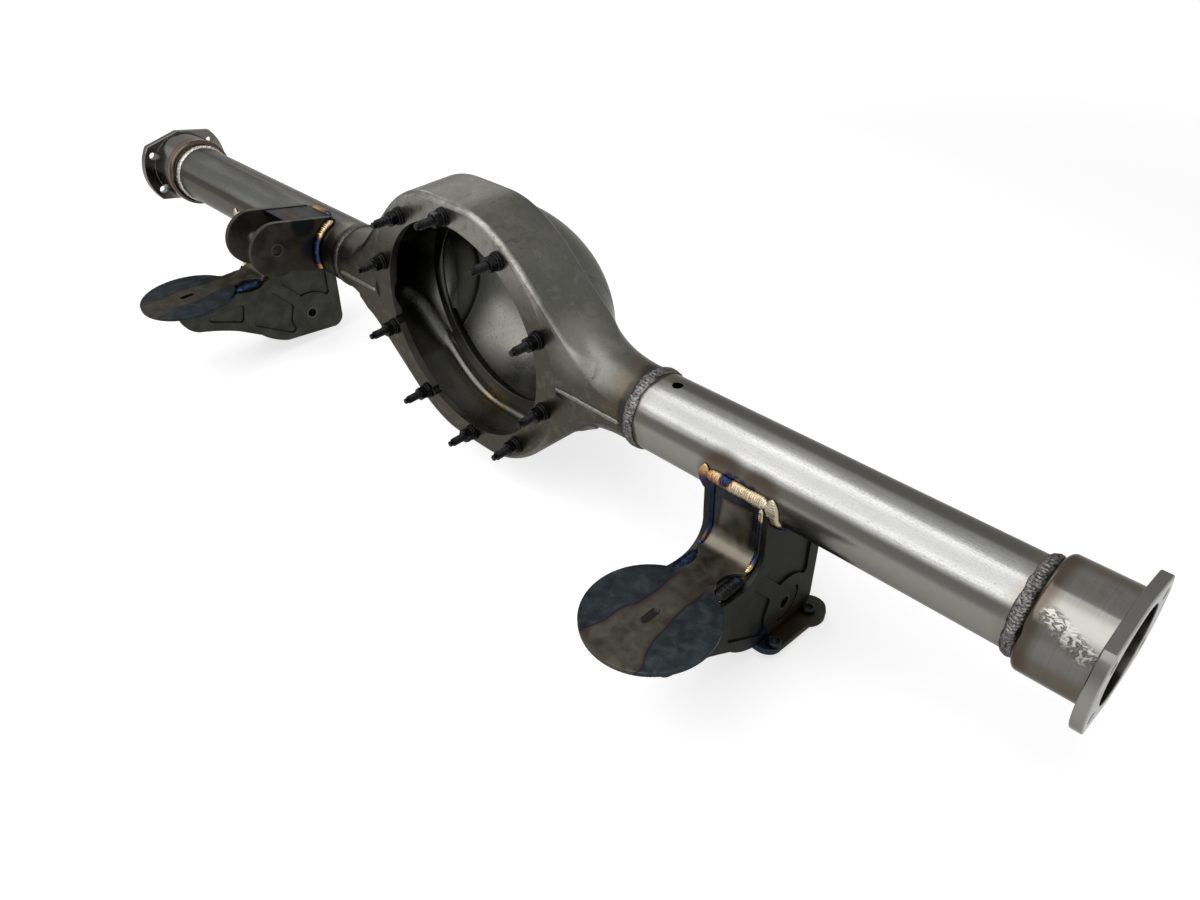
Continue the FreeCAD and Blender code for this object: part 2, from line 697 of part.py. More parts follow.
def main():
    os.makedirs("parts", exist_ok=True)
    body = housing_body()
    cover = rear_cover(body)
    export("housing_body", body)
    export("rear_cover", cover)
    export("inner_ring", inner_ring(body))
    export("cover_weld", cover_weld(body, cover))
    export("seam_right", seam_bead(152.0, 234.0, body))
    export("seam_left", seam_bead(-222.0, -152.0, body))

    socket = HUB_LEN + FLANGE_T - SOCKET_DEPTH
    right_tube = tube(RIGHT_NECK_X, RIGHT_END_X - socket)
    right_tube = right_tube.cut(cyl_z(VENT_R, 20, 60, VENT_X, 0))
    left_tube = tube(LEFT_END_X + socket, LEFT_NECK_X)
    export("right_tube", right_tube)
    export("left_tube", left_tube)
    flare = bell(-WELD_GAP)
    export("right_neck_weld", band_weld(RIGHT_NECK_X, 8.5, 2.6).cut(flare))
    export("left_neck_weld", band_weld(LEFT_NECK_X, 8.5, 1.6).cut(mirror_x(flare)))

    end = housing_end()
    weld = end_weld()
    for name, shape in (("housing_end", end), ("end_weld", weld)):
        right = shape.copy()
        right.translate(Vector(RIGHT_END_X, 0, 0))
        left = mirror_x(shape)
        left.translate(Vector(LEFT_END_X, 0, 0))
        export("right_" + name, right)
        export("left_" + name, left)

    y1 = FACE_Y - WASHER_T
    y2 = y1 - COLLAR_T
    y3 = y2 - NUT_T
    studs, washers, collars, nuts = [], [], [], []
    for i, (x, z) in enumerate(stud_centres()):
        studs.append(stud(x, z))
        washers.append(ring(WASHER_R, SHANK_R, y1, FACE_Y, x, z, 0.4))
        collars.append(ring(COLLAR_R, SHANK_R, y2, y1, x, z, 0.6))
        nuts.append(hex_nut(x, z, y3, y2, 17.0 * i))
    export("carrier_studs", Part.makeCompound(studs))
    export("stud_washers", Part.makeCompound(washers))
    export("stud_collars", Part.makeCompound(collars))
    export("stud_nuts", Part.makeCompound(nuts))

    outer = side_plate(True)
    inner = mirror_x(side_plate(False))
    seat = spring_seat()
    shock = shock_plate()
    bosses = Part.makeCompound([b.cut(outer) for b in shock_bosses().Solids])
    welds = bracket_welds([outer, inner, seat])
    for right, word in ((True, "right_"), (False, "left_")):
        export(word + "bracket_plate_outboard", place_bracket(outer, right))
        export(word + "bracket_plate_inboard", place_bracket(inner, right))
        export(word + "spring_seat", place_bracket(seat, right))
        export(word + "shock_plate", place_bracket(shock, right))
        export(word + "shock_bosses", place_bracket(bosses, right))
        export(word + "bracket_welds", place_bracket(welds, right))

    ear_a = link_ear(EAR_A_X)
    ear_b = link_ear(EAR_B_X)
    bridge = link_bridge()
    export("link_ear_inboard", ear_a)
    export("link_ear_outboard", ear_b)
    export("link_bridge", bridge)
    export("link_welds", link_welds([ear_a, ear_b, bridge]))
    print("nodes", len(NODES))


main()
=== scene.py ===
# %% [markdown]
# # A bare steel axle housing, dressed for a picture
#
# The solids come in already built: a pressed bowl in the middle, a tube on each side,
# turned ends, and the brackets and lugs welded to the tubes. This lesson gives each steel
# part the finish it left the workshop with, and replaces the plain welds and studs with
# ones that show their ripples and threads. Everything is in metres. +X runs along the
# axle, -Y is the open side of the bowl, and +Z is up.

# %% Tools and the frame
import math

import bpy
from mathutils import Matrix, Vector, noise


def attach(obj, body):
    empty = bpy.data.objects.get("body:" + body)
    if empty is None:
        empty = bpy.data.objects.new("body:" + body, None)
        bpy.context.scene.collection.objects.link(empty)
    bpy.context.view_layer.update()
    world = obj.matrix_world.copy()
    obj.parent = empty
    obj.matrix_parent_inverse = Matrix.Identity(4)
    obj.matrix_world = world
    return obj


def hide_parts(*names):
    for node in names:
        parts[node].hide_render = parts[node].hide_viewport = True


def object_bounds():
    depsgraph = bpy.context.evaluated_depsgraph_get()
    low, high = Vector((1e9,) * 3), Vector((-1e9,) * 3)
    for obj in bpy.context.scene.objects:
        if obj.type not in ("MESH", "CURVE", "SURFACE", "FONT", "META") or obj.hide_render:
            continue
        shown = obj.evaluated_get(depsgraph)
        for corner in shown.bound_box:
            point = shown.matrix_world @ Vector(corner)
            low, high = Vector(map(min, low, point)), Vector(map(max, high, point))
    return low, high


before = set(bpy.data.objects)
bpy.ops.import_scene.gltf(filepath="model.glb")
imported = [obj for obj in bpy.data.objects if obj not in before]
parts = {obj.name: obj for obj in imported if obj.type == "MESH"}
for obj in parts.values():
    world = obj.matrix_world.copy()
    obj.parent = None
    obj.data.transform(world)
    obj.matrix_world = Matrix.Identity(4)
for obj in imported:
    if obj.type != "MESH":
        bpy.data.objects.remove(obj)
solid_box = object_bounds()
print("solids:", len(parts), "box:", solid_box)

# %% [markdown]
# ## The camera
#
# A picture of a long part looks right only from the place it was taken. The lens and the
# place were worked out from the straight edges of the tubes and the ring of studs. The
# camera looks down its own -Z, so its matrix is built from the direction that points back
# at the lens, and is then rolled a little, as a hand-held camera is.

# %% The camera
FOCAL_PX = 944.8
IMAGE_WIDTH_PX = 1200
SENSOR_MM = 36.0
AZIMUTH = math.radians(46.0564)
ELEVATION = math.radians(37.4608)
ROLL = math.radians(-2.1265)
CAMERA_AT = Vector((0.7346, -0.505726, 0.509347))


def camera_axes(azimuth, elevation, roll):
    back = Vector((math.sin(azimuth) * math.cos(elevation),
                   -math.cos(azimuth) * math.cos(elevation),
                   math.sin(elevation)))
    right = Vector((0, 0, 1)).cross(back).normalized()
    up = back.cross(right)
    rolled_right = math.cos(roll) * right + math.sin(roll) * up
    rolled_up = -math.sin(roll) * right + math.cos(roll) * up
    return rolled_right, rolled_up, back


lens = bpy.data.cameras.new("camera")
lens.sensor_width = SENSOR_MM
lens.lens = FOCAL_PX * SENSOR_MM / IMAGE_WIDTH_PX
lens.clip_end = 50
camera = bpy.data.objects.new("camera", lens)
right, up, back = camera_axes(AZIMUTH, ELEVATION, ROLL)
camera.matrix_world = Matrix.Translation(CAMERA_AT) @ Matrix((right, up, back)).transposed().to_4x4()
bpy.context.scene.collection.objects.link(camera)
bpy.context.scene.camera = camera
print("lens %.2f mm at" % lens.lens, tuple(round(v, 3) for v in CAMERA_AT))

# %% [markdown]
# ## A small kit for writing finishes
#
# Every finish here is a tree of shader nodes. Wiring nodes one by one hides the idea
# behind it, so this kit gives each step one short call: noise, a smooth step, a blend of
# two colours. Places on the part are read from the object's own coordinates. The solids
# sit at the origin, so those are simply metres along X, Y and Z.


# %% The finish kit
class Finish:
    """A material, with short calls for the nodes that a steel finish is made of."""

    def __init__(self, name):
        self.material = bpy.data.materials.new(name)
        self.material.use_nodes = True
        self.tree = self.material.node_tree
        self.shader = self.tree.nodes["Principled BSDF"]
        self.coords = self.tree.nodes.new("ShaderNodeTexCoord").outputs["Object"]
        split = self.node("ShaderNodeSeparateXYZ", Vector=self.coords)
        self.x, self.y, self.z = split.outputs

    def node(self, kind, **inputs):
        made = self.tree.nodes.new(kind)
        for name, value in inputs.items():
            self.plug(made.inputs[name.replace("_", " ")], value)
        return made

    def plug(self, socket, value):
        if isinstance(value, bpy.types.NodeSocket):
            self.tree.links.new(value, socket)
        elif isinstance(value, tuple) and len(value) == 3 and socket.type == "RGBA":
            socket.default_value = (*value, 1)
        else:
            socket.default_value = value

    def math(self, operation, *values):
        made = self.tree.nodes.new("ShaderNodeMath")
        made.operation = operation
        for socket, value in zip(made.inputs, values):
            self.plug(socket, value)
        return made.outputs[0]

    def plus(self, a, b):
        return self.math("ADD", a, b)

    def minus(self, a, b):
        return self.math("SUBTRACT", a, b)

    def times(self, first, *others):
        for other in others:
            first = self.math("MULTIPLY", first, other)
        return first

    def off(self, value, place):
        """How far value is from place, to either side."""
        return self.math("ABSOLUTE", self.minus(value, place))

    def span(self, a, b):
        """The distance whose two legs are a and b."""
        return self.math("SQRT", self.plus(self.times(a, a), self.times(b, b)))

    def step(self, value, start, end, low=0.0, high=1.0):
        """Goes smoothly from low to high as value goes from start to end."""
        made = self.tree.nodes.new("ShaderNodeMapRange")
        made.interpolation_type = "SMOOTHSTEP"
        if start > end:
            start, end, low, high = end, start, high, low
        for name, number in (("Value", value), ("From Min", start), ("From Max", end),
                             ("To Min", low), ("To Max", high)):
            self.plug(made.inputs[name], number)
        return made.outputs["Result"]

    def grain(self, size, stretch=(1, 1, 1), detail=4.0, roughness=0.55, warp=0.0):
        """Noise whose blobs are about size metres across, longer where stretch is high."""
        scaled = self.node("ShaderNodeVectorMath", Vector=self.coords)
        scaled.operation = "DIVIDE"
        scaled.inputs[1].default_value = stretch
        made = self.node("ShaderNodeTexNoise", Vector=scaled.outputs[0], Scale=1.0 / size,
                         Detail=detail, Roughness=roughness, Distortion=warp)
        return made.outputs["Fac"]

    def blend(self, amount, a, b):
        made = self.tree.nodes.new("ShaderNodeMix")
        made.data_type = "RGBA"
        self.plug(made.inputs["Factor"], amount)
        self.plug(made.inputs[6], a)
        self.plug(made.inputs[7], b)
        return made.outputs[2]

    def paint(self, colour, mask, strength, tint):
        """Lays tint over colour where mask is one. Strength says how thickly."""
        return self.blend(self.times(mask, strength), colour, tint)

    def ramp(self, value, *stops):
        made = self.node("ShaderNodeValToRGB", Fac=value)
        marks = made.color_ramp.elements
        while len(marks) < len(stops):
            marks.new(0.5)
        for mark, (place, colour) in zip(marks, stops):
            mark.position = place
            mark.color = (*colour, 1)
        return made.outputs["Color"]

    def near(self, centre, radius, soft):
        """One inside a ball round centre, falling to nothing over soft metres."""
        away = self.node("ShaderNodeVectorMath", Vector=self.coords)
        away.operation = "DISTANCE"
        away.inputs[1].default_value = centre
        return self.step(away.outputs["Value"], radius + soft, radius)

    def bump(self, height, distance, strength=1.0, edge=0.0):
        made = self.node("ShaderNodeBump", Height=height, Strength=strength)
        made.inputs["Distance"].default_value = distance
        if edge:
            rounded = self.tree.nodes.new("ShaderNodeBevel")
            rounded.samples = 4
            self.plug(rounded.inputs["Radius"], edge)
            self.tree.links.new(rounded.outputs[0], made.inputs["Normal"])
        self.plug(self.shader.inputs["Normal"], made.outputs[0])

    def metal(self, colour, roughness, metallic=1.0):
        self.plug(self.shader.inputs["Base Color"], colour)
        self.plug(self.shader.inputs["Roughness"], roughness)
        self.shader.inputs["Metallic"].default_value = metallic
        # Worn steel goes dull, not white, where it turns away from the eye.
        self.shader.inputs["Specular Tint"].default_value = (0.55, 0.55, 0.55, 1)
        return self.material


def shade(amount, colour):
    return tuple(amount * v for v in colour)


def dress(material, *names):
    for name in names:
        slots = parts[name].data.materials
        slots.clear()
        slots.append(material)
    print(material.name, "on", len(names), "solids")


# %% [markdown]
# ## The pressed bowl
#
# The bowl is two steel pressings, left bare. Its skin is dark and slightly olive, with fine pits and
# pale scuffs. A bright band runs along the rim of the open face, where it was ground; the band also
# holds a painted highlight, painted stronger towards the top. Noises of different sizes do the
# mottling, the pits and the grain. The bright band is placed by radius: it follows the outline of
# the face, so the distance past that outline, together with how near the face is, finds it. Painted
# light and shade also go inside the bowl and on the right shoulder.

# %% Finish of the bowl
NECK_WELD_X = {"right": 0.249, "left": -0.236}
BOWL_RADIUS = 0.153
BOWL_FLAT = 0.1475
OPENING_RADIUS = 0.122
FACE_BACK_Y = 0.009
DOME_FRONT_Y = 0.070


def bowl_skin(f, clouds, blotch):
    colour = f.ramp(clouds, (0.30, (0.078, 0.078, 0.069)), (0.55, (0.095, 0.094, 0.084)),
                    (0.75, (0.112, 0.111, 0.100)))
    colour = f.blend(f.step(blotch, 0.55, 0.75, 0.0, 0.35), colour, (0.066, 0.060, 0.048))
    scuffed = f.step(f.grain(0.018, warp=0.5), 0.50, 0.72, 0.0, 0.5)
    return f.blend(scuffed, colour, (0.135, 0.132, 0.118))


def open_face(f, colour, blotch):
    """The open face is a little darker and warmer than the skin. Towards the top it is painted
    paler: a painted highlight.
    """
    face = f.step(f.y, 0.0012, 0.0004)
    face_tone_and_highlight = f.blend(f.step(f.z, 0.050, 0.130), (0.056, 0.049, 0.039), (0.230, 0.224, 0.200))
    colour = f.paint(colour, face, 0.85, face_tone_and_highlight)
    mottled = f.times(face, f.step(blotch, 0.50, 0.66, 0.0, 0.6))
    return f.blend(mottled, colour, (0.100, 0.093, 0.078))


def neck_heat(f, colour, clouds):
    """A brown stain on each neck, darkest next to its weld and strongest on the right."""
    for side, brown, burnt in (("right", 0.75, 0.85), ("left", 0.35, 0.45)):
        gap = f.off(f.x, NECK_WELD_X[side])
        wavy = f.plus(gap, f.step(clouds, 0.3, 0.7, -0.006, 0.006))
        colour = f.blend(f.step(wavy, 0.040, 0.010, 0.0, brown), colour, (0.072, 0.054, 0.036))
        colour = f.blend(f.step(wavy, 0.015, 0.009, 0.0, burnt), colour, (0.026, 0.025, 0.024))
    return colour


def ground_rim_and_highlight(f, colour, blotch, aside, outward):
    """The bright band along the rounded front corner of the rim: ground metal, with a painted
    highlight that is painted stronger towards the top.
    """
    ground_and_highlight_band = f.times(f.step(outward, -0.0062, -0.0042), f.step(f.y, 0.0068, 0.0050),
                   f.step(aside, 0.140, 0.118), f.step(blotch, 0.35, 0.60, 1.0, 0.45),
                   f.step(f.z, -0.150, 0.060, 0.25, 0.64))
    return f.blend(ground_and_highlight_band, colour, (0.30, 0.296, 0.274))


def bowl_inside(f, colour, reach, outward):
    # The cut edge of the opening is bare.
    lip = f.times(f.step(reach, OPENING_RADIUS + 0.0020, OPENING_RADIUS + 0.0005),
                  f.step(f.y, FACE_BACK_Y + 0.0005, FACE_BACK_Y - 0.0005),
                  f.step(f.y, 0.0005, 0.0010))
    colour = f.paint(colour, lip, 0.8, (0.24, 0.235, 0.215))
    # Painted light inside: the walls are painted paler than the outer skin and palest at the bottom,
    # where light falls in through the opening. Painted shade dulls the far corner.
    inside = f.times(f.step(outward, -0.0035, -0.0050),
                     f.step(f.y, FACE_BACK_Y, FACE_BACK_Y + 0.0010),
                     f.step(f.y, DOME_FRONT_Y - 0.0010, DOME_FRONT_Y - 0.0020))
    painted_light_walls = f.blend(f.step(f.z, -0.055, -0.120), (0.130, 0.128, 0.113), (0.225, 0.223, 0.200))
    colour = f.paint(colour, inside, 0.85, painted_light_walls)
    corner = f.times(inside, f.step(f.y, 0.0560, 0.0610))
    colour = f.paint(colour, corner, 0.7, (0.070, 0.068, 0.060))
    # Painted shade darkens the dome's left side, and a painted pool of light brightens a patch low
    # on it.
    dome = f.times(f.step(f.y, DOME_FRONT_Y, DOME_FRONT_Y + 0.0010),
                   f.step(reach, 0.1330, 0.1300))
    dark = f.times(dome, f.step(f.x, -0.080, -0.112))
    colour = f.paint(colour, dark, 0.85, (0.020, 0.020, 0.017))
    painted_dome_light = f.times(dome, f.near((-0.068, 0.122, -0.076), 0.010, 0.044))
    return f.paint(colour, painted_dome_light, 0.85, (0.152, 0.147, 0.133))


def bowl_marks(f, colour):
    # A painted highlight on the right shoulder, rust scuffs on the top, an oil stain low inside.
    painted_shoulder_highlight = f.near((0.176, 0.016, 0.048), 0.010, 0.036)
    colour = f.paint(colour, painted_shoulder_highlight, 0.6, (0.21, 0.205, 0.185))
    places = f.math("MAXIMUM", f.near((0.084, 0.014, 0.127), 0.012, 0.014),
                    f.near((0.026, 0.030, 0.147), 0.012, 0.026))
    scuffs = f.step(f.grain(0.006, (1, 2.5, 1), warp=1.2), 0.50, 0.62, 0.0, 0.6)
    colour = f.blend(f.times(places, scuffs), colour, (0.068, 0.049, 0.034))
    oil = f.times(f.near((-0.034, 0.060, -0.139), 0.014, 0.014),
                  f.step(f.grain(0.010, warp=0.8), 0.42, 0.56, 0.0, 0.7))
    return f.blend(oil, colour, (0.22, 0.160, 0.060))


def bowl_finish():
    f = Finish("pressed_steel")
    clouds = f.grain(0.050, detail=5.0)
    blotch = f.grain(0.012, roughness=0.6, warp=0.6)
    fine = f.grain(0.0012, detail=3.0)
    aside = f.math("ABSOLUTE", f.x)
    reach = f.span(f.x, f.z)
    outward = f.math("MAXIMUM", f.minus(reach, BOWL_RADIUS),
                     f.minus(f.math("ABSOLUTE", f.z), BOWL_FLAT))
    colour = bowl_skin(f, clouds, blotch)
    colour = open_face(f, colour, blotch)
    streaks = f.grain(0.0030, (1, 1, 9), detail=3.0, warp=0.2)
    colour = f.blend(f.step(streaks, 0.52, 0.72, 0.0, 0.35), colour, (0.046, 0.043, 0.035))
    colour = neck_heat(f, colour, clouds)
    colour = ground_rim_and_highlight(f, colour, blotch, aside, outward)
    colour = bowl_inside(f, colour, reach, outward)
    colour = bowl_marks(f, colour)
    pits = f.step(f.grain(0.0022, detail=2.0), 0.26, 0.38)
    colour = f.paint(colour, f.minus(1.0, pits), 0.6, (0.045, 0.042, 0.035))
    rough = f.step(f.plus(f.times(clouds, 0.6), f.times(fine, 0.4)), 0.35, 0.65, 0.25, 0.42)
    # The necks were drawn, not cut, so their edges are far rounder than the rim's.
    neck = f.times(f.step(aside, 0.100, 0.130), f.step(f.y, 0.005, 0.012))
    neck = f.math("MAXIMUM", neck, f.step(aside, 0.160, 0.185))
    edge = f.plus(0.0012, f.times(neck, 0.0160))
    f.bump(f.plus(f.times(pits, 0.7), f.times(fine, 0.3)), 0.0003, 0.35, edge=edge)
    return f.metal(colour, rough)


dress(bowl_finish(), "housing_body", "rear_cover", "inner_ring")

# %% [markdown]
# ## The tubes
#
# Drawn tube carries long faint lines from the die. On a shiny round bar those lines are what the eye
# reads as steel, so both the colour and the gloss vary across the tube but hardly along it: the
# noise is stretched thirty times along X. The left tube is painted darker than the right all over:
# painted shade for the darker surroundings it reflects.


# %% Finish of the tubes
def tube_finish(name, dark, light, painted_under_shade, weld_xs, gloss):
    f = Finish(name)
    lines = f.grain(0.0012, (30, 1, 1), detail=2.0)
    clouds = f.grain(0.030, (4, 1, 1), detail=5.0, warp=0.3)
    fine = f.grain(0.0012, (1.6, 1, 1), detail=3.0)
    colour = f.blend(f.step(clouds, 0.32, 0.68), dark, light)
    colour = f.blend(f.step(lines, 0.40, 0.70, 0.0, 0.30), colour, shade(0.8, dark))
    colour = f.blend(f.step(fine, 0.46, 0.66, 0.0, 0.40), colour, shade(0.7, dark))
    specks = f.step(f.grain(0.0022, (3, 1, 1), detail=3.0, warp=0.5), 0.62, 0.72, 0.0, 0.5)
    colour = f.blend(specks, colour, shade(0.5, dark))
    # Painted shade: the lower side is painted darker, with a darker stripe along its upper edge, and
    # so is the back. A painted shade across the front of the crown splits its highlight in two.
    across = f.minus(f.y, AXLE_Y)
    low = f.minus(f.z, f.times(across, 0.60))
    colour = f.blend(f.step(low, 0.0400, 0.0370, 0.0, 0.9), colour, painted_under_shade)
    painted_shade_stripe = f.times(f.step(low, 0.0400, 0.0375), f.step(low, 0.0290, 0.0340))
    colour = f.paint(colour, painted_shade_stripe, 0.70, shade(0.38, painted_under_shade))
    # Painted shade on the back of the tube.
    back = f.step(across, -0.014, 0.006, 0.0, 0.88)
    colour = f.blend(back, colour, shade(0.43, painted_under_shade))
    painted_crown_shade = f.times(f.step(across, -0.0150, -0.0215), f.step(low, 0.0415, 0.0440))
    colour = f.paint(colour, painted_crown_shade, 0.65, shade(0.5, light))
    # A brown and a dark heat band beside each weld.
    for x in weld_xs:
        gap = f.plus(f.off(f.x, x), f.step(clouds, 0.3, 0.7, -0.002, 0.002))
        colour = f.blend(f.step(gap, 0.022, 0.010, 0.0, 0.35), colour, (0.150, 0.120, 0.085))
        colour = f.blend(f.step(gap, 0.011, 0.0075, 0.0, 0.9), colour, (0.030, 0.029, 0.030))
    rough = f.step(clouds, 0.25, 0.75, gloss, gloss + 0.08)
    f.bump(f.plus(f.times(lines, 0.4), f.times(fine, 0.6)), 0.00014, 0.45, edge=0.0006)
    return f, colour, rough


# %% [markdown]
# The brackets under each tube were welded hot enough to leave colour on the tube itself:
# a dark blue smudge over the neck of the bracket and a brown halo round it. Both are
# balls of colour placed on the tube's skin.

# %% Heat marks on the tubes
BRACKET_X = {"right": 0.377, "left": -0.4455}
END_SHOULDER_X = {"right": 0.620, "left": -0.6555}
TUBE_RADIUS = 0.0381
AXLE_Y = 0.036
PATCH_BLOBS = 5
PATCH_PITCH = 0.0048


def on_tube(x, angle):
    """A point on the tube's skin, angle degrees from the top towards the open face."""
    a = math.radians(angle)
    return (x, AXLE_Y - TUBE_RADIUS * math.sin(a), TUBE_RADIUS * math.cos(a))


def bright_tube():
    f, colour, rough = tube_finish("bright_tube", (0.26, 0.26, 0.252), (0.34, 0.339, 0.330),
                                   (0.190, 0.184, 0.165),
                                   (NECK_WELD_X["right"], END_SHOULDER_X["right"]), 0.19)
    x = BRACKET_X["right"]
    halo = f.math("MAXIMUM", f.near(on_tube(x - 0.018, 88), 0.016, 0.014),
                  f.near(on_tube(x + 0.020, 88), 0.015, 0.012))
    colour = f.paint(colour, halo, 0.75, (0.060, 0.042, 0.028))
    # One long dark blue patch touches the weld over the neck of the bracket.
    patch = f.near(on_tube(x - 0.010, 86), 0.005, 0.003)
    for i in range(1, PATCH_BLOBS + 1):
        blob = f.near(on_tube(x - 0.010 + PATCH_PITCH * i, 86), 0.0058 - 0.0004 * i, 0.003)
        patch = f.math("MAXIMUM", patch, blob)
    patch = f.times(patch, f.step(f.grain(0.006, detail=3.0, warp=0.8), 0.34, 0.46))
    colour = f.paint(colour, patch, 0.92, (0.018, 0.024, 0.045))
    return f.metal(colour, rough)


def grey_tube():
    # Painted shade: all of the left tube's colours are darker than the right tube's.
    f, colour, rough = tube_finish("grey_tube", (0.120, 0.120, 0.112), (0.195, 0.195, 0.185),
                                   (0.115, 0.106, 0.087),
                                   (NECK_WELD_X["left"], END_SHOULDER_X["left"]), 0.24)
    halo = f.near(on_tube(-0.272, 50), 0.020, 0.024)
    colour = f.paint(colour, halo, 0.6, (0.045, 0.036, 0.027))
    halo = f.near(on_tube(-0.300, 12), 0.028, 0.020)
    colour = f.paint(colour, halo, 0.7, (0.032, 0.034, 0.042))
    return f.metal(colour, rough)


dress(bright_tube(), "right_tube")
dress(grey_tube(), "left_tube")

# %% [markdown]
# ## The turned ends
#
# The bearing ends are lathe work: smooth, with lines that run round the axle instead of
# along it. The noise is read in the distance from the axle and in X, so its lines close
# on themselves. One patch on the near hub was left rough by a grinder.


# %% Finish of the turned ends
END_FACE_X = {"right": 0.6805, "left": -0.716}
COPPER_RING_X = -0.6625
GROUND_PATCH = ((0.635, 0.0007, 0.0310), (0.642, -0.0014, 0.0284), (0.649, -0.0033, 0.0258),
                (0.656, -0.0049, 0.0232), (0.662, -0.0063, 0.0205))


def turned_finish():
    f = Finish("machined_end")
    across = f.minus(f.y, AXLE_Y)
    turned = f.node("ShaderNodeCombineXYZ", X=f.x, Y=f.span(across, f.z)).outputs[0]
    lines = f.node("ShaderNodeTexNoise", Vector=turned, Scale=700.0, Detail=1.0).outputs["Fac"]
    clouds = f.grain(0.022, detail=5.0, warp=0.4)
    colour = f.blend(f.step(lines, 0.3, 0.7), (0.126, 0.123, 0.113), (0.140, 0.136, 0.125))
    colour = f.blend(f.step(clouds, 0.50, 0.70, 0.0, 0.5), colour, (0.100, 0.084, 0.064))
    # A painted highlight: a band high on the front is painted bright. Lower down the hub is darker
    # and browner.
    low = f.minus(f.z, f.times(across, 0.90))
    painted_hub_highlight = f.times(f.step(low, 0.0612, 0.0634), f.step(across, -0.018, -0.028))
    colour = f.paint(colour, painted_hub_highlight, 0.9, (0.22, 0.214, 0.198))
    colour = f.blend(f.step(low, 0.047, 0.036, 0.0, 0.7), colour, (0.090, 0.074, 0.056))
    # Dark heat ring beside the weld.
    for x in END_SHOULDER_X.values():
        ring = f.step(f.off(f.x, x), 0.017, 0.006, 0.0, 0.85)
        colour = f.blend(ring, colour, (0.060, 0.046, 0.033))
    # The far end kept a copper ring on the shoulder next to its weld.
    copper = f.step(f.off(f.x, COPPER_RING_X), 0.0036, 0.0018)
    colour = f.paint(colour, copper, 0.6, (0.30, 0.190, 0.118))
    # The faces turned last are clean. On the flange's edge the colour holds painted light: painted
    # shade makes it duller and darkest on top, and a painted highlight runs along the face's rim.
    for x in END_FACE_X.values():
        gap = f.off(f.x, x)
        clean = f.step(gap, 0.0110, 0.0090)
        flange_light_and_shade = f.blend(f.step(f.z, 0.000, 0.030), (0.235, 0.225, 0.204), (0.120, 0.118, 0.110))
        flange_light_and_shade = f.blend(f.step(gap, 0.0006, 0.0012), (0.35, 0.343, 0.32), flange_light_and_shade)
        colour = f.paint(colour, clean, 0.9, flange_light_and_shade)
    # The ground patch runs aslant down the near hub.
    patch = f.near(GROUND_PATCH[0], 0.0040, 0.0055)
    for centre in GROUND_PATCH[1:]:
        patch = f.math("MAXIMUM", patch, f.near(centre, 0.0040, 0.0055))
    scars = f.grain(0.0042, (1.6, 1, 1), detail=3.0, warp=1.4)
    patch = f.times(patch, f.step(scars, 0.36, 0.46))
    scarred = f.blend(f.step(scars, 0.48, 0.58), (0.080, 0.076, 0.068), (0.30, 0.29, 0.265))
    colour = f.blend(patch, colour, scarred)
    rough = f.plus(f.step(clouds, 0.3, 0.7, 0.13, 0.20), f.times(patch, 0.15))
    height = f.plus(f.times(lines, 0.05), f.times(patch, f.times(scars, 9.0)))
    f.bump(height, 0.00015, 0.5, edge=0.0010)
    return f.metal(colour, rough)


dress(turned_finish(), "right_housing_end", "left_housing_end")

# %% [markdown]
# ## Weld beads
#
# A bead is a line of small puddles that froze one over the next. From above each one
# shows as a crescent, bowed back along the bead. A plain rod gives no hint of that, so
# each bead is swept here as a mesh. Points run along its line, a ring of points stands
# round each, and the ring swells and sinks with every puddle. A little noise keeps one
# puddle from looking like the next.


# %% Sweeping a bead
BEAD_STEP_MM = 0.35


def sweep_bead(name, line, outward, width, height, pitch, ripple, depth=0.4, closed=False,
               around=18, uneven=0.12, seed=0.0):
    """line: points along the bead. outward: for each, the way it bulges. The bead is
    width each way across, height proud, and depth of its height sunk."""
    count = len(line)
    rings = []
    travelled = 0.0
    for i, at in enumerate(line):
        before = line[i - 1] if closed or i > 0 else line[i]
        after = line[(i + 1) % count] if closed or i < count - 1 else line[i]
        along = (after - before).normalized()
        out = (outward[i] - along * outward[i].dot(along)).normalized()
        across = along.cross(out)
        if i:
            travelled += (at - line[i - 1]).length
        taper = 1.0
        if not closed:
            end = min(i, count - 1 - i) * (line[1] - line[0]).length
            taper = min(1.0, math.sqrt(max(0.02, end / (1.2 * width))))
        wander = noise.noise(at * 120 + Vector((seed, 0, 0)))
        drift = noise.noise(at * 320 + Vector((0, seed, 3.1)))
        w = width * taper * (1 + uneven * wander)
        h = height * taper * (1 + uneven * drift)
        ring = []
        for j in range(around):
            a = 2 * math.pi * j / around
            side, lift = math.cos(a), math.sin(a)
            puddle = (travelled - 0.9 * width * (1 - side * side) ** 0.5) / pitch
            puddle += 0.35 * drift
            wave = (puddle % 1.0) ** 1.6
            rise = h * (1 + ripple * (wave - 0.5) * 2) * lift if lift > 0 else h * depth * lift
            ring.append(at + across * (w * side * (1 + 0.4 * ripple * wave)) + out * rise)
        rings.append(ring)
    corners = [tuple(p) for ring in rings for p in ring]
    faces = []
    for i in range(count if closed else count - 1):
        for j in range(around):
            k = (j + 1) % around
            n = (i + 1) % count
            faces.append((i * around + j, i * around + k, n * around + k, n * around + j))
    if not closed:
        faces.append(tuple(range(around)))
        faces.append(tuple(reversed(range((count - 1) * around, count * around))))
    mesh = bpy.data.meshes.new(name)
    mesh.from_pydata(corners, [], faces)
    mesh.validate()
    for face in mesh.polygons:
        face.use_smooth = True
    bead = bpy.data.objects.new(name, mesh)
    bpy.context.scene.collection.objects.link(bead)
    return bead


def place_bead(bead, material, slot, *stands_for):
    bead.data.materials.append(material)
    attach(bead, "root")
    if stands_for:
        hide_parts(*stands_for)
    return bead


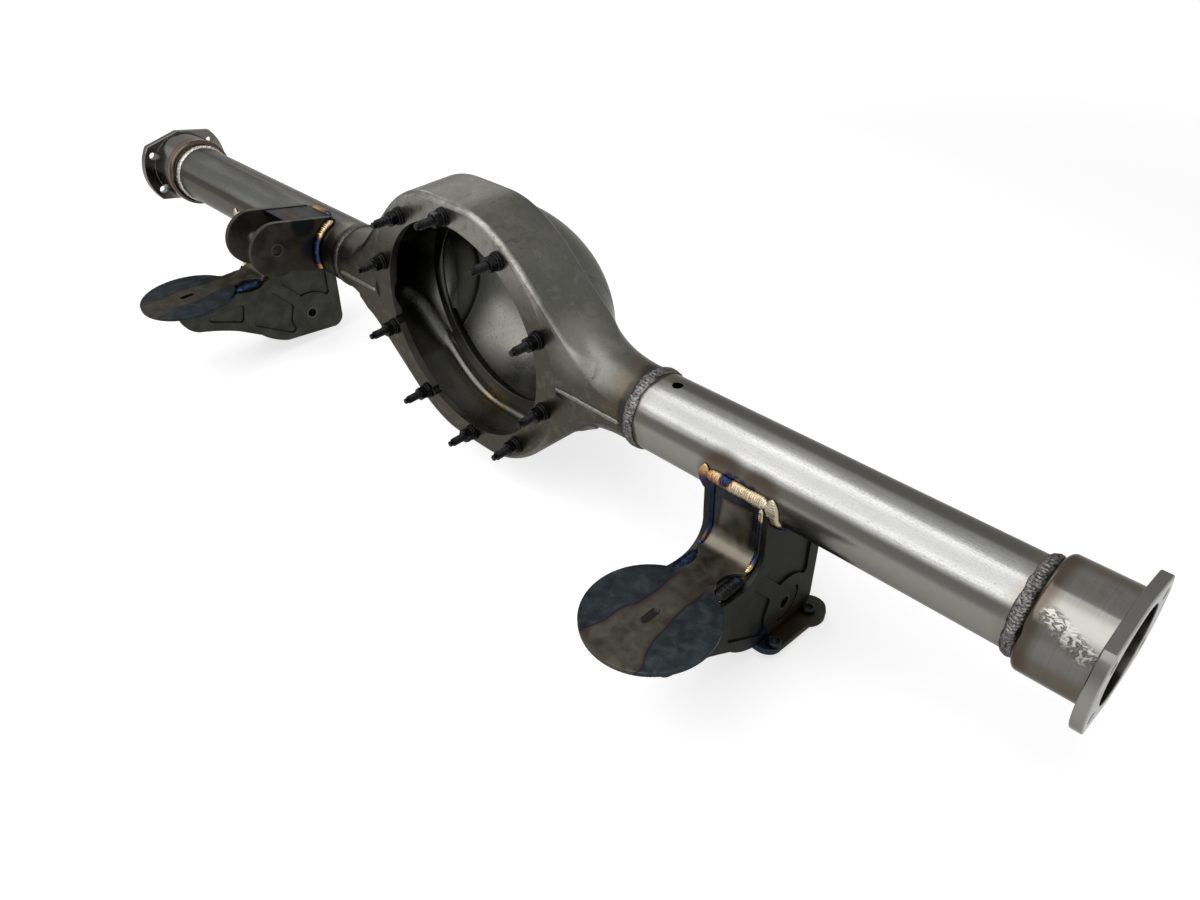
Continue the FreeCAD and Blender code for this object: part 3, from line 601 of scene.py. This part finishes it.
def tube_arc(x, radius, start, end, step_mm=BEAD_STEP_MM, side=-1):
    """Points and outward ways round the tube, in degrees from the top. side -1 goes
    down the open face's side, +1 down the back."""
    count = max(8, int(radius * math.radians(abs(end - start)) / (step_mm / 1000)))
    points, ways = [], []
    for i in range(count + 1):
        a = math.radians(start + (end - start) * i / count)
        way = Vector((0, side * math.sin(a), math.cos(a)))
        points.append(Vector((x, AXLE_Y, 0)) + radius * way)
        ways.append(way)
    return points, ways


def straight_run(start, end, way):
    start, end = Vector(start), Vector(end)
    count = max(8, int((end - start).length / (BEAD_STEP_MM / 1000)))
    points = [start.lerp(end, i / count) for i in range(count + 1)]
    return points, [Vector(way)] * (count + 1)


# %% [markdown]
# ### The four ring welds
#
# The tubes join the bowl and the ends with coarse wire-fed welds: dark grey, lumpy, and
# right round. They get the widest beads and the largest puddles. The left side was welded
# finer, dull at the neck and silver at the end.


# %% Finish of the ring welds
END_WELD_X = {"right": 0.6145, "left": -0.6500}
RING_STEP_MM = 0.55


def ring_weld_finish(name, dark, light):
    f = Finish(name)
    lumps = f.grain(0.0022, detail=4.0, warp=0.4)
    colour = f.ramp(lumps, (0.35, dark), (0.62, light))
    rough = f.step(lumps, 0.3, 0.7, 0.48, 0.30)
    f.bump(lumps, 0.0006, 0.8)
    return f.metal(colour, rough)


def ring_weld(side, place, x, width, height, pitch, ripple, material):
    points, ways = tube_arc(x, TUBE_RADIUS - 0.0002, 0, 360, step_mm=RING_STEP_MM)
    bead = sweep_bead("weld_%s_%s" % (side, place), points[:-1], ways[:-1], width, height,
                      pitch, ripple, depth=0.25, closed=True, around=22, uneven=0.22,
                      seed=x * 40)
    return place_bead(bead, material, "grey_bead", "%s_%s_weld" % (side, place))


coarse = ring_weld_finish("grey_bead", (0.028, 0.028, 0.027), (0.17, 0.167, 0.158))
dull = ring_weld_finish("dull_bead", (0.026, 0.025, 0.022), (0.085, 0.082, 0.074))
silver = ring_weld_finish("silver_bead", (0.20, 0.185, 0.160), (0.50, 0.48, 0.44))
rings = [
    ring_weld("right", "neck", NECK_WELD_X["right"], 0.0060, 0.0026, 0.0031, 0.26, coarse),
    ring_weld("left", "neck", NECK_WELD_X["left"], 0.0042, 0.0014, 0.0026, 0.14, dull),
    ring_weld("right", "end", END_WELD_X["right"], 0.0052, 0.0030, 0.0027, 0.30, coarse),
    ring_weld("left", "end", END_WELD_X["left"], 0.0050, 0.0028, 0.0019, 0.14, silver)]
print("ring welds:", len(rings))

# %% [markdown]
# ### Seams of the bowl
#
# A thin ridge runs along each neck where the two pressings meet. It keeps the plain steel
# that came with the solids, and only its ripples are new. The longer seam round the domed
# back cover is as grey and coarse as the ring welds. It is swept in two halves.

# %% Seam beads
SEAM_Y = AXLE_Y - 0.0377
SEAM_Z = -0.002
COVER_SEAM_Y = 0.0744
COVER_SEAM_REACH = 0.111
COVER_SEAM_STEPS = 560
COVER_HALF_LENGTH = 0.1447
COVER_HALF_HEIGHT = 0.1285
plain_steel = bpy.data.materials["pressed_steel"]

for side, start, end in (("right", 0.152, 0.238), ("left", -0.226, -0.152)):
    points, ways = straight_run((start, SEAM_Y, SEAM_Z), (end, SEAM_Y, SEAM_Z), (0, -1, 0))
    bead = sweep_bead("seam_ridge_" + side, points, ways, 0.0023, 0.0024, 0.0016, 0.10,
                      depth=0.8, uneven=0.2, seed=start * 30)
    place_bead(bead, plain_steel, "pressed_steel", "seam_" + side)

for half in (1, -1):
    limit = math.acos(COVER_SEAM_REACH / COVER_HALF_LENGTH)
    points, ways = [], []
    for i in range(COVER_SEAM_STEPS + 1):
        a = limit + (math.pi - 2 * limit) * i / COVER_SEAM_STEPS
        at = Vector((COVER_HALF_LENGTH * math.cos(a), COVER_SEAM_Y,
                     half * COVER_HALF_HEIGHT * math.sin(a)))
        points.append(at)
        ways.append(Vector((at.x, 0.10, at.z)).normalized())
    bead = sweep_bead("cover_seam_" + ("top" if half > 0 else "bottom"), points, ways,
                      0.0034, 0.0030, 0.0024, 0.16, depth=0.8, uneven=0.2, seed=half * 7.0)
    place_bead(bead, coarse, "grey_bead", *(["cover_weld"] if half > 0 else []))
print("seam beads:", 4)

# %% [markdown]
# ### Fine welds on the brackets
#
# The brackets were welded by hand with a torch and filler rod. Those beads are narrow,
# even and bright, and they keep the colours that hot steel turns as it cools: straw, then
# brown, purple and deep blue. The order never changes, so one ramp holds it. What changes
# is how hot each place got, and a slow noise along the bead plays that part.


# %% Heat colours
def heat_colour(f, heat):
    """The colour of steel that got this hot: 0 is bare, 1 is grey-blue scale."""
    return f.ramp(heat, (0.00, (0.40, 0.36, 0.28)), (0.22, (0.48, 0.35, 0.17)),
                  (0.38, (0.30, 0.165, 0.080)), (0.50, (0.085, 0.042, 0.048)),
                  (0.62, (0.022, 0.034, 0.078)), (0.80, (0.014, 0.021, 0.038)),
                  (1.00, (0.022, 0.021, 0.020)))


def fine_weld_finish(name, low, high, spots):
    """spots: the centre, the radius and the heat of places hotter or cooler than the rest."""
    f = Finish(name)
    slow = f.grain(0.022, detail=2.0, warp=0.4)
    heat = f.step(slow, 0.32, 0.68, low, high)
    for centre, radius, value in spots:
        heat = f.blend(f.near(centre, radius, radius), heat, (value, value, value))
    colour = heat_colour(f, heat)
    fine = f.grain(0.0006, detail=2.0)
    f.bump(fine, 0.0001, 0.4)
    return f.metal(colour, f.step(fine, 0.3, 0.7, 0.22, 0.34))


# %% Bracket welds
PLATE_FACE = 0.034
NECK_FACE_Y = AXLE_Y - 0.0388
NECK_WELD_Y = AXLE_Y - 0.0396
BEND_Z = -0.0544
BEND_RADIUS = 0.0160
BEAD_PITCH = 0.0021
BEAD_RIPPLE = 0.20
# How far each bead lies from the bracket's middle.
UPRIGHT_BEAD = 0.0262
TUBE_BEAD = 0.0354
BACK_BEAD = 0.0348
CORNER_BEAD = 0.0243
NECK_BEAD_END = 0.0330
CORNER_Z = -0.0760


def bend_run(x, towards):
    """Down the edge of the seat's neck and round its bend. towards is the sign of x in
    which the plate lies, so that the bead sits in the corner beside it."""
    points, ways = straight_run((x, NECK_FACE_Y, -0.008), (x, NECK_FACE_Y, BEND_Z),
                                (towards * 0.7, -0.7, 0))
    ways = list(ways)
    steps = int(BEND_RADIUS * math.pi / 2 / (BEAD_STEP_MM / 1000))
    for i in range(1, steps + 1):
        a = math.pi / 2 * i / steps
        points.append(Vector((x, NECK_FACE_Y - BEND_RADIUS * (1 - math.cos(a)),
                              BEND_Z - BEND_RADIUS * math.sin(a))))
        ways.append(Vector((towards * 0.7, -0.7 * math.cos(a), 0.7 * math.sin(a))))
    return points, ways


def bracket_welds(side, mirror):
    xc = BRACKET_X[side]

    def spot(outboard, forward, z, radius, heat):
        return ((xc + mirror * outboard, AXLE_Y - forward, z), radius, heat)

    finish = fine_weld_finish("tinted_bead_" + side, 0.04, 0.36, [
        spot(-UPRIGHT_BEAD, 0.039, -0.036, 0.020, 0.80),
        spot(UPRIGHT_BEAD, 0.039, -0.040, 0.018, 0.92),
        spot(-0.0240, 0.076, -0.076, 0.018, 0.74 if side == "right" else 0.72),
        spot(0.0240, 0.084, -0.076, 0.016, 0.98),
        spot(-0.011, 0.0396, 0.002, 0.0045, 0.64),
        spot(0.036, 0.038, -0.006, 0.012, 0.03),
        spot(UPRIGHT_BEAD, 0.052, -0.070, 0.003, 0.22)])
    beads = []

    def add(label, run, width, height, **more):
        bead = sweep_bead("bead_%s_%s" % (side, label), *run, width, height, BEAD_PITCH,
                          BEAD_RIPPLE, seed=len(beads) * 3.7 + xc, **more)
        beads.append(place_bead(bead, finish, "tinted_bead"))

    for s, word in ((-mirror, "inner"), (mirror, "outer")):
        add(word + "_tube", tube_arc(xc + s * TUBE_BEAD, 0.0388, 81, 168), 0.0066, 0.0032)
        add(word + "_upright", bend_run(xc + s * UPRIGHT_BEAD, -s), 0.0027, 0.0024, depth=1.0)
        add(word + "_back", tube_arc(xc + s * BACK_BEAD, 0.0390, 98, 142, side=1), 0.0030, 0.0030)
        corner = straight_run((xc + s * CORNER_BEAD, AXLE_Y - 0.056, CORNER_Z),
                              (xc + s * CORNER_BEAD, AXLE_Y - 0.094, CORNER_Z), (s * 0.2, 0, 1))
        add(word + "_corner", corner, 0.0060, 0.0026, depth=1.0)
    middle = Vector((xc, NECK_WELD_Y, -0.001))
    end = Vector((NECK_BEAD_END, 0, 0))
    add("neck", straight_run(middle - end, middle + end, (0, -0.75, 0.65)), 0.0056, 0.0040,
        depth=0.6)
    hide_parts(side + "_bracket_welds")
    return beads


made = bracket_welds("right", 1) + bracket_welds("left", -1)
print("bracket beads:", len(made))

# %% [markdown]
# ### Welds of the upper link lug
#
# Two arcs hold the ears to the tube. The one that faces the bowl shows its whole scale of
# colours in order: gold at the top, then blue, then brown at the foot.


# %% Lug welds
LUG_WELD_X = {"near": -0.2728, "far": -0.34015}
LUG_BRIDGE_X = (-0.3264, -0.28655)
LUG_BRIDGE_Y = AXLE_Y - 0.004
LUG_BRIDGE_Z = 0.0403


def lug_welds():
    x = LUG_WELD_X["near"]
    finish = fine_weld_finish("tinted_bead_lug", 0.30, 0.62, [
        ((x, AXLE_Y - 0.0395, 0.008), 0.014, 0.68), ((x, AXLE_Y - 0.022, 0.033), 0.009, 0.16),
        ((x, AXLE_Y - 0.037, -0.014), 0.007, 0.36)])
    beads = []
    for label, x in LUG_WELD_X.items():
        beads.append(sweep_bead("bead_lug_" + label, *tube_arc(x, 0.0399, 14, 112), 0.0046,
                                0.0042, 0.0024, 0.30, seed=x * 9))
    ends = [(x, LUG_BRIDGE_Y, LUG_BRIDGE_Z) for x in LUG_BRIDGE_X]
    beads.append(sweep_bead("bead_lug_bridge", *straight_run(*ends, (0, 0.3, 1)), 0.0038,
                            0.0036, 0.0014, 0.13, depth=1.0, seed=5.0))
    for bead in beads:
        place_bead(bead, finish, "tinted_bead")
    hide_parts("link_welds")
    return beads


print("lug beads:", len(lug_welds()))

# %% [markdown]
# ## Bracket plates
#
# The side plates are hot rolled steel cut by machine. Their skin is nearly black with a
# green-grey cast, smooth but not shiny. A rounded edge in the shader catches the light
# along every corner and costs no geometry.


# %% Finish of the plates
def plate_finish(name, dark, light, heat_balls, hole):
    f = Finish(name)
    clouds = f.grain(0.018, detail=5.0, warp=0.3)
    fine = f.grain(0.0007, detail=2.0)
    colour = f.blend(f.step(clouds, 0.35, 0.68), dark, light)
    for centre, radius, soft, tint in heat_balls:
        place = f.near(centre, radius, soft)
        wavy = f.times(place, f.step(clouds, 0.25, 0.55, 0.6, 1.0))
        colour = f.blend(wavy, colour, tint)
    # The drilled hole has a rubbed ring round it, and its wall is painted near black as painted
    # shade.
    reach = f.span(f.minus(f.y, hole[0]), f.minus(f.z, hole[1]))
    ring = f.times(f.step(reach, 0.0062, 0.0066), f.step(reach, 0.0084, 0.0076))
    colour = f.paint(colour, ring, 0.6, shade(2.2, light))
    colour = f.blend(f.step(reach, 0.00645, 0.0063), colour, (0.003, 0.003, 0.003))
    # Painted shade: an occlusion node darkens the corners of the pockets.
    pocket_occlusion = f.node("ShaderNodeAmbientOcclusion", Distance=0.005)
    pocket_occlusion.samples = 6
    painted_pocket_shade = f.step(pocket_occlusion.outputs["AO"], 0.90, 0.45, 0.0, 0.85)
    colour = f.blend(painted_pocket_shade, colour, (0.004, 0.004, 0.003))
    f.bump(fine, 0.00012, 0.45, edge=0.0008)
    return f.metal(colour, f.step(clouds, 0.3, 0.7, 0.40, 0.52), metallic=0.9)


# %% Plates in place
LINK_HOLE = (AXLE_Y + 0.0017, -0.145)

# Painted light: the plates of each side are one steel scaled by a brightness of its own, the left
# side's painted far brighter.
for side, mirror, side_light_factor in (("right", 1, 1.25), ("left", -1, 2.4)):
    outer = BRACKET_X[side] + mirror * PLATE_FACE
    heated = [((outer, AXLE_Y - 0.118, -0.100), 0.014, 0.012, (0.024, 0.019, 0.013)),
              ((outer, AXLE_Y + 0.005, -0.180), 0.018, 0.014, (0.030, 0.020, 0.013)),
              ((outer, AXLE_Y - 0.036, -0.172), 0.012, 0.012, (0.022, 0.030, 0.046))]
    finish = plate_finish("plate_steel_" + side, shade(side_light_factor, (0.012, 0.012, 0.010)),
                          shade(side_light_factor, (0.021, 0.021, 0.018)), heated, LINK_HOLE)
    dress(finish, side + "_bracket_plate_outboard", side + "_bracket_plate_inboard",
          side + "_shock_plate", side + "_shock_bosses")

# %% [markdown]
# ## Spring seats
#
# Each seat is one plate: a round pad, a bend, and a neck that rises to the tube. Welding
# from below turned the pad blue-black over the side plates and left a brown line round
# each dark zone. The zones are drawn from the distance to the pad's middle line, whose
# edge waves in and out. Inside the neck the heat came from its three welded edges.

# %% Finish of the seats
SEAT_CENTRE_Y = AXLE_Y - 0.147
SEAT_TOP = -0.0704
SEAT_NECK_EDGE = 0.0277
SEAT_NECK_TOP = -0.003


def seat_finish(side, side_light_factor):
    f = Finish("seat_steel_" + side)
    clouds = f.grain(0.014, detail=4.0, warp=0.5)
    fine = f.grain(0.0006, detail=2.0)
    colour = f.ramp(clouds, (0.3, shade(side_light_factor, (0.036, 0.032, 0.025))),
                    (0.7, shade(side_light_factor, (0.074, 0.070, 0.058))))
    aside = f.off(f.x, BRACKET_X[side])
    wave = f.step(f.grain(0.040, detail=0.0), 0.3, 0.7, -0.003, 0.003)
    # The bend and the neck are paler than the pad: partly their own lighter brown, partly a painted
    # highlight on the bend.
    upper = f.step(f.y, AXLE_Y - 0.094, AXLE_Y - 0.070)
    paler_with_bend_highlight = f.ramp(clouds, (0.3, (0.085, 0.074, 0.056)), (0.7, (0.135, 0.122, 0.098)))
    colour = f.paint(colour, upper, 0.85, paler_with_bend_highlight)
    # On the pad: how far past the edge of the cool middle strip.
    flare = f.step(f.y, AXLE_Y - 0.174, AXLE_Y - 0.196, 0.0, 0.0095)
    middle = f.plus(flare, f.step(f.y, AXLE_Y - 0.110, AXLE_Y - 0.160, 0.0170, 0.0200))
    past = f.plus(f.minus(aside, middle), wave)
    along = f.step(f.y, SEAT_CENTRE_Y + 0.066, SEAT_CENTRE_Y + 0.040)
    flat = f.step(f.z, SEAT_TOP + 0.006, SEAT_TOP + 0.002)
    pad = f.times(along, flat)
    # On the neck: how near the welded edges.
    side_edge = f.minus(SEAT_NECK_EDGE, aside)
    top_edge = f.minus(SEAT_NECK_TOP, f.z)
    nearest = f.math("MINIMUM", side_edge, f.minus(top_edge, 0.0050))
    hot = f.minus(0.0108, f.plus(nearest, f.times(wave, 0.4)))
    neck = f.step(f.z, -0.062, -0.050)
    for where, value, width in ((pad, past, 0.0055), (neck, hot, 0.004)):
        brown = f.times(where, f.step(value, -width, -0.0008))
        brown = f.times(brown, f.step(value, 0.002, -0.0004))
        colour = f.paint(colour, brown, 0.6, (0.046, 0.028, 0.016))
        line = f.times(where, f.step(value, -0.0012, 0.0006))
        colour = f.paint(colour, line, 0.92, (0.016, 0.014, 0.024))
        deep = f.times(where, f.step(value, 0.0006, 0.0030))
        scale = f.ramp(clouds, (0.30, shade(side_light_factor, (0.015, 0.018, 0.021))),
                       (0.50, shade(side_light_factor, (0.024, 0.030, 0.034))),
                       (0.70, shade(side_light_factor, (0.044, 0.052, 0.056))))
        colour = f.blend(deep, colour, scale)
    rough = f.step(clouds, 0.3, 0.7, 0.28, 0.42)
    f.bump(fine, 0.0001, 0.4, edge=0.0008)
    return f.metal(colour, rough, metallic=0.95)


# Painted shade: the left seat is a darker copy of the same steel.
for side, side_light_factor in (("right", 1.0), ("left", 0.8)):
    dress(seat_finish(side, side_light_factor), side + "_spring_seat")

# %% [markdown]
# ## The upper link lug
#
# The ears are the same near-black plate. Heat from the bridge weld left a round dark
# patch on the near ear, and bands of blue, brown and grey across the bridge.


# %% Finish of the lug
def bridge_finish():
    f = Finish("bridge_steel")
    clouds = f.grain(0.012, (3, 1, 1), detail=3.0)
    place = f.plus(f.y, f.step(clouds, 0.3, 0.7, -0.004, 0.004))
    heat = f.step(place, AXLE_Y - 0.068, AXLE_Y - 0.006)
    colour = f.ramp(heat, (0.00, (0.012, 0.013, 0.026)), (0.14, (0.018, 0.015, 0.028)),
                    (0.26, (0.060, 0.038, 0.022)), (0.40, (0.044, 0.034, 0.025)),
                    (0.52, (0.014, 0.016, 0.020)), (0.70, (0.034, 0.036, 0.036)),
                    (1.00, (0.024, 0.027, 0.030)))
    streaks = f.grain(0.0020, (8, 1, 1), detail=2.0)
    colour = f.blend(f.step(streaks, 0.35, 0.65, 0.75, 0.35), colour, (0.008, 0.008, 0.009))
    f.bump(f.grain(0.0008), 0.0001, 0.4, edge=0.0008)
    return f.metal(colour, f.step(clouds, 0.3, 0.7, 0.36, 0.48), metallic=0.95)


EAR_HOLE = (AXLE_Y - 0.0877, 0.0265)
EAR_FACE_X = -0.2752


def ear_finish():
    patches = [((EAR_FACE_X, AXLE_Y - 0.060, 0.005), 0.008, 0.022, (0.054, 0.042, 0.028)),
               ((EAR_FACE_X, AXLE_Y - 0.048, 0.046), 0.016, 0.008, (0.070, 0.063, 0.048)),
               ((EAR_FACE_X, AXLE_Y - 0.048, 0.046), 0.012, 0.008, (0.016, 0.018, 0.021)),
               ((EAR_FACE_X, AXLE_Y - 0.044, 0.012), 0.006, 0.014, (0.014, 0.018, 0.030))]
    return plate_finish("lug_steel", (0.036, 0.034, 0.027), (0.056, 0.053, 0.043), patches,
                        EAR_HOLE)


dress(ear_finish(), "link_ear_inboard", "link_ear_outboard")
dress(bridge_finish(), "link_bridge")

# %% [markdown]
# ## Studs and nuts
#
# Ten black studs stand round the open face. The solids are plain rods, so each stud is
# made again with its thread: one groove that winds from the nut to the smooth nose. The
# rod is drawn as rings of points, and each ring's radius follows how far round and along
# the groove it is. All ten share one mesh.

# %% The stud mesh
STUD_RADIUS = 0.00476
STUD_NOSE_RADIUS = 0.0033
THREAD_PITCH = 0.00127
THREAD_DEPTH = 0.0007
STUD_SEAT_Y = 0.009
THREAD_START_Y = -0.0125
THREAD_END_Y = -0.0290
STUD_TIP_Y = -0.0339


def stud_mesh():
    around = 28
    profile = [(STUD_SEAT_Y, 0.0001, 0), (STUD_SEAT_Y, STUD_RADIUS, 0),
               (THREAD_START_Y, STUD_RADIUS, 0)]
    steps = int((THREAD_START_Y - THREAD_END_Y) / (THREAD_PITCH / 6))
    for i in range(1, steps):
        y = THREAD_START_Y + (THREAD_END_Y - THREAD_START_Y) * i / steps
        profile.append((y, STUD_RADIUS, 1))
    profile += [(THREAD_END_Y - 0.0002, STUD_NOSE_RADIUS, 0),
                (STUD_TIP_Y + 0.0007, STUD_NOSE_RADIUS, 0),
                (STUD_TIP_Y, STUD_NOSE_RADIUS - 0.0007, 0), (STUD_TIP_Y, 0.0001, 0)]
    corners, faces = [], []
    for y, radius, threaded in profile:
        for j in range(around):
            turn = j / around
            r = radius
            if threaded:
                phase = (y / THREAD_PITCH + turn) % 1.0
                fade = min(1.0, (y - THREAD_END_Y) / 0.0012, (THREAD_START_Y - y) / 0.0006)
                r -= THREAD_DEPTH * max(0.0, fade) * (1 - abs(2 * phase - 1))
            corners.append((r * math.cos(2 * math.pi * turn), y, r * math.sin(2 * math.pi * turn)))
    for i in range(len(profile) - 1):
        for j in range(around):
            k = (j + 1) % around
            faces.append((i * around + j, i * around + k, (i + 1) * around + k,
                          (i + 1) * around + j))
    mesh = bpy.data.meshes.new("threaded_stud")
    mesh.from_pydata(corners, [], faces)
    mesh.validate()
    return mesh


# %% Black finish of the hardware
def hardware_finish(name, dark, light):
    f = Finish(name)
    rub = f.grain(0.0016, detail=4.0)
    colour = f.blend(f.step(rub, 0.50, 0.72), dark, light)
    f.bump(rub, 0.0001, 0.4, edge=0.0004)
    return f.metal(colour, f.step(rub, 0.3, 0.7, 0.22, 0.36), metallic=0.7)


black = hardware_finish("black_hardware", (0.007, 0.007, 0.008), (0.030, 0.031, 0.032))
dress(black, "stud_washers", "stud_collars", "stud_nuts")

# %% [markdown]
# Eight studs stand on one circle at equal steps of 36 degrees. The top and the bottom one
# stand a little nearer the centre, because the bowl has a flat there.

# %% Ten studs
STUD_COUNT = 10
STUD_CIRCLE = 0.135
STUD_CIRCLE_FLAT = 0.1312


def stand_studs():
    mesh = stud_mesh()
    mesh.materials.append(black)
    for i in range(STUD_COUNT):
        a = math.radians(360 / STUD_COUNT * i)
        r = STUD_CIRCLE_FLAT if i in (0, STUD_COUNT // 2) else STUD_CIRCLE
        stud = bpy.data.objects.new("threaded_stud_%02d" % (i + 1), mesh)
        stud.location = (r * math.sin(a), 0, r * math.cos(a))
        bpy.context.scene.collection.objects.link(stud)
        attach(stud, "root")
        if i == 0:
            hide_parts("carrier_studs")
    return len(mesh.polygons)


print("studs:", STUD_COUNT, "faces each:", stand_studs())

# %% [markdown]
# ## Floor and light
#
# The part stands on a white studio floor. One wide soft lamp hangs overhead and gives the
# tubes their long bright band, a second one behind on the left lights the top of the bowl,
# and a weak one in front keeps the open side readable. The floor and the sky show white to
# the camera and in reflections, and still take the part's shadow.

# %% The floor
FLOOR_GAP = 0.0004
FLOOR_SIZE = 60
# The floor's own glow grows from the first to the second number with the distance.
FLOOR_GLOW = (0.70, 1.00)
FLOOR_GLOW_REACH = (1.4, 3.2)


def seen_directly(tree):
    """One for rays from the camera and for mirrored and see-through rays."""
    path = tree.nodes.new("ShaderNodeLightPath")
    total = path.outputs["Is Camera Ray"]
    for name in ("Is Glossy Ray", "Is Transmission Ray"):
        add = tree.nodes.new("ShaderNodeMath")
        add.operation = "MAXIMUM"
        tree.links.new(total, add.inputs[0])
        tree.links.new(path.outputs[name], add.inputs[1])
        total = add.outputs[0]
    return total


def white_floor(z):
    bpy.ops.mesh.primitive_plane_add(size=FLOOR_SIZE, location=(0, 0, z))
    floor = bpy.context.object
    floor.name = "studio_floor"
    f = Finish("studio_floor")
    grain = f.node("ShaderNodeTexNoise", Scale=3.0).outputs["Fac"]
    tint = f.ramp(grain, (0.0, (0.54, 0.54, 0.54)), (1.0, (0.56, 0.56, 0.56)))
    # Far from the part the lamps reach less, and the glow makes up for it.
    reach = f.node("ShaderNodeVectorMath",
                   Vector=f.node("ShaderNodeNewGeometry").outputs["Position"])
    reach.operation = "LENGTH"
    glow = f.node("ShaderNodeMapRange", Value=reach.outputs["Value"],
                  From_Min=FLOOR_GLOW_REACH[0], From_Max=FLOOR_GLOW_REACH[1],
                  To_Min=FLOOR_GLOW[0], To_Max=FLOOR_GLOW[1]).outputs["Result"]
    glow = f.times(seen_directly(f.tree), glow)
    for name, value in (("Base Color", tint), ("Roughness", 1.0), ("Specular IOR Level", 0.0),
                        ("Emission Color", (1, 1, 1)), ("Emission Strength", glow)):
        f.plug(f.shader.inputs[name], value)
    floor.data.materials.append(f.material)
    return floor


lowest = solid_box[0][2]
floor = white_floor(lowest - FLOOR_GAP)
print("floor at z = %.4f" % floor.location.z)


# %% The sky
SKY_STRENGTH = 0.20


def white_sky(strength):
    world = bpy.data.worlds.new("sky")
    bpy.context.scene.world = world
    world.use_nodes = True
    tree = world.node_tree
    background = tree.nodes["Background"]
    background.inputs["Color"].default_value = (1, 1, 1, 1)
    seen = seen_directly(tree)
    mix = tree.nodes.new("ShaderNodeMapRange")
    mix.inputs["To Min"].default_value = strength
    mix.inputs["To Max"].default_value = 1.0
    tree.links.new(seen, mix.inputs["Value"])
    tree.links.new(mix.outputs["Result"], background.inputs["Strength"])


white_sky(SKY_STRENGTH)
print("sky strength:", SKY_STRENGTH)


# %% Lamps
def soft_lamp(name, at, aim, width, depth, watts):
    data = bpy.data.lights.new(name, "AREA")
    data.shape = "RECTANGLE"
    data.size = width
    data.size_y = depth
    data.energy = watts
    lamp = bpy.data.objects.new(name, data)
    lamp.location = at
    lamp.rotation_euler = (Vector(aim) - Vector(at)).to_track_quat("-Z", "Y").to_euler()
    bpy.context.scene.collection.objects.link(lamp)
    return lamp


lamps = [soft_lamp("lamp_overhead", (-0.05, -0.69, 1.30), (0.25, 0.03, 0), 2.0, 1.9, 28),
         soft_lamp("lamp_back_left", (-1.9, 1.3, 1.0), (0, 0, 0.1), 1.2, 0.8, 8),
         soft_lamp("lamp_front", (1.0, -2.2, 0.9), (0, 0, 0), 0.8, 0.8, 4)]
print("lamps:", len(lamps))

# %% [markdown]
# ## The view
#
# The scene shows its colours through the plain view transform.

bpy.context.scene.view_settings.view_transform = "Standard"
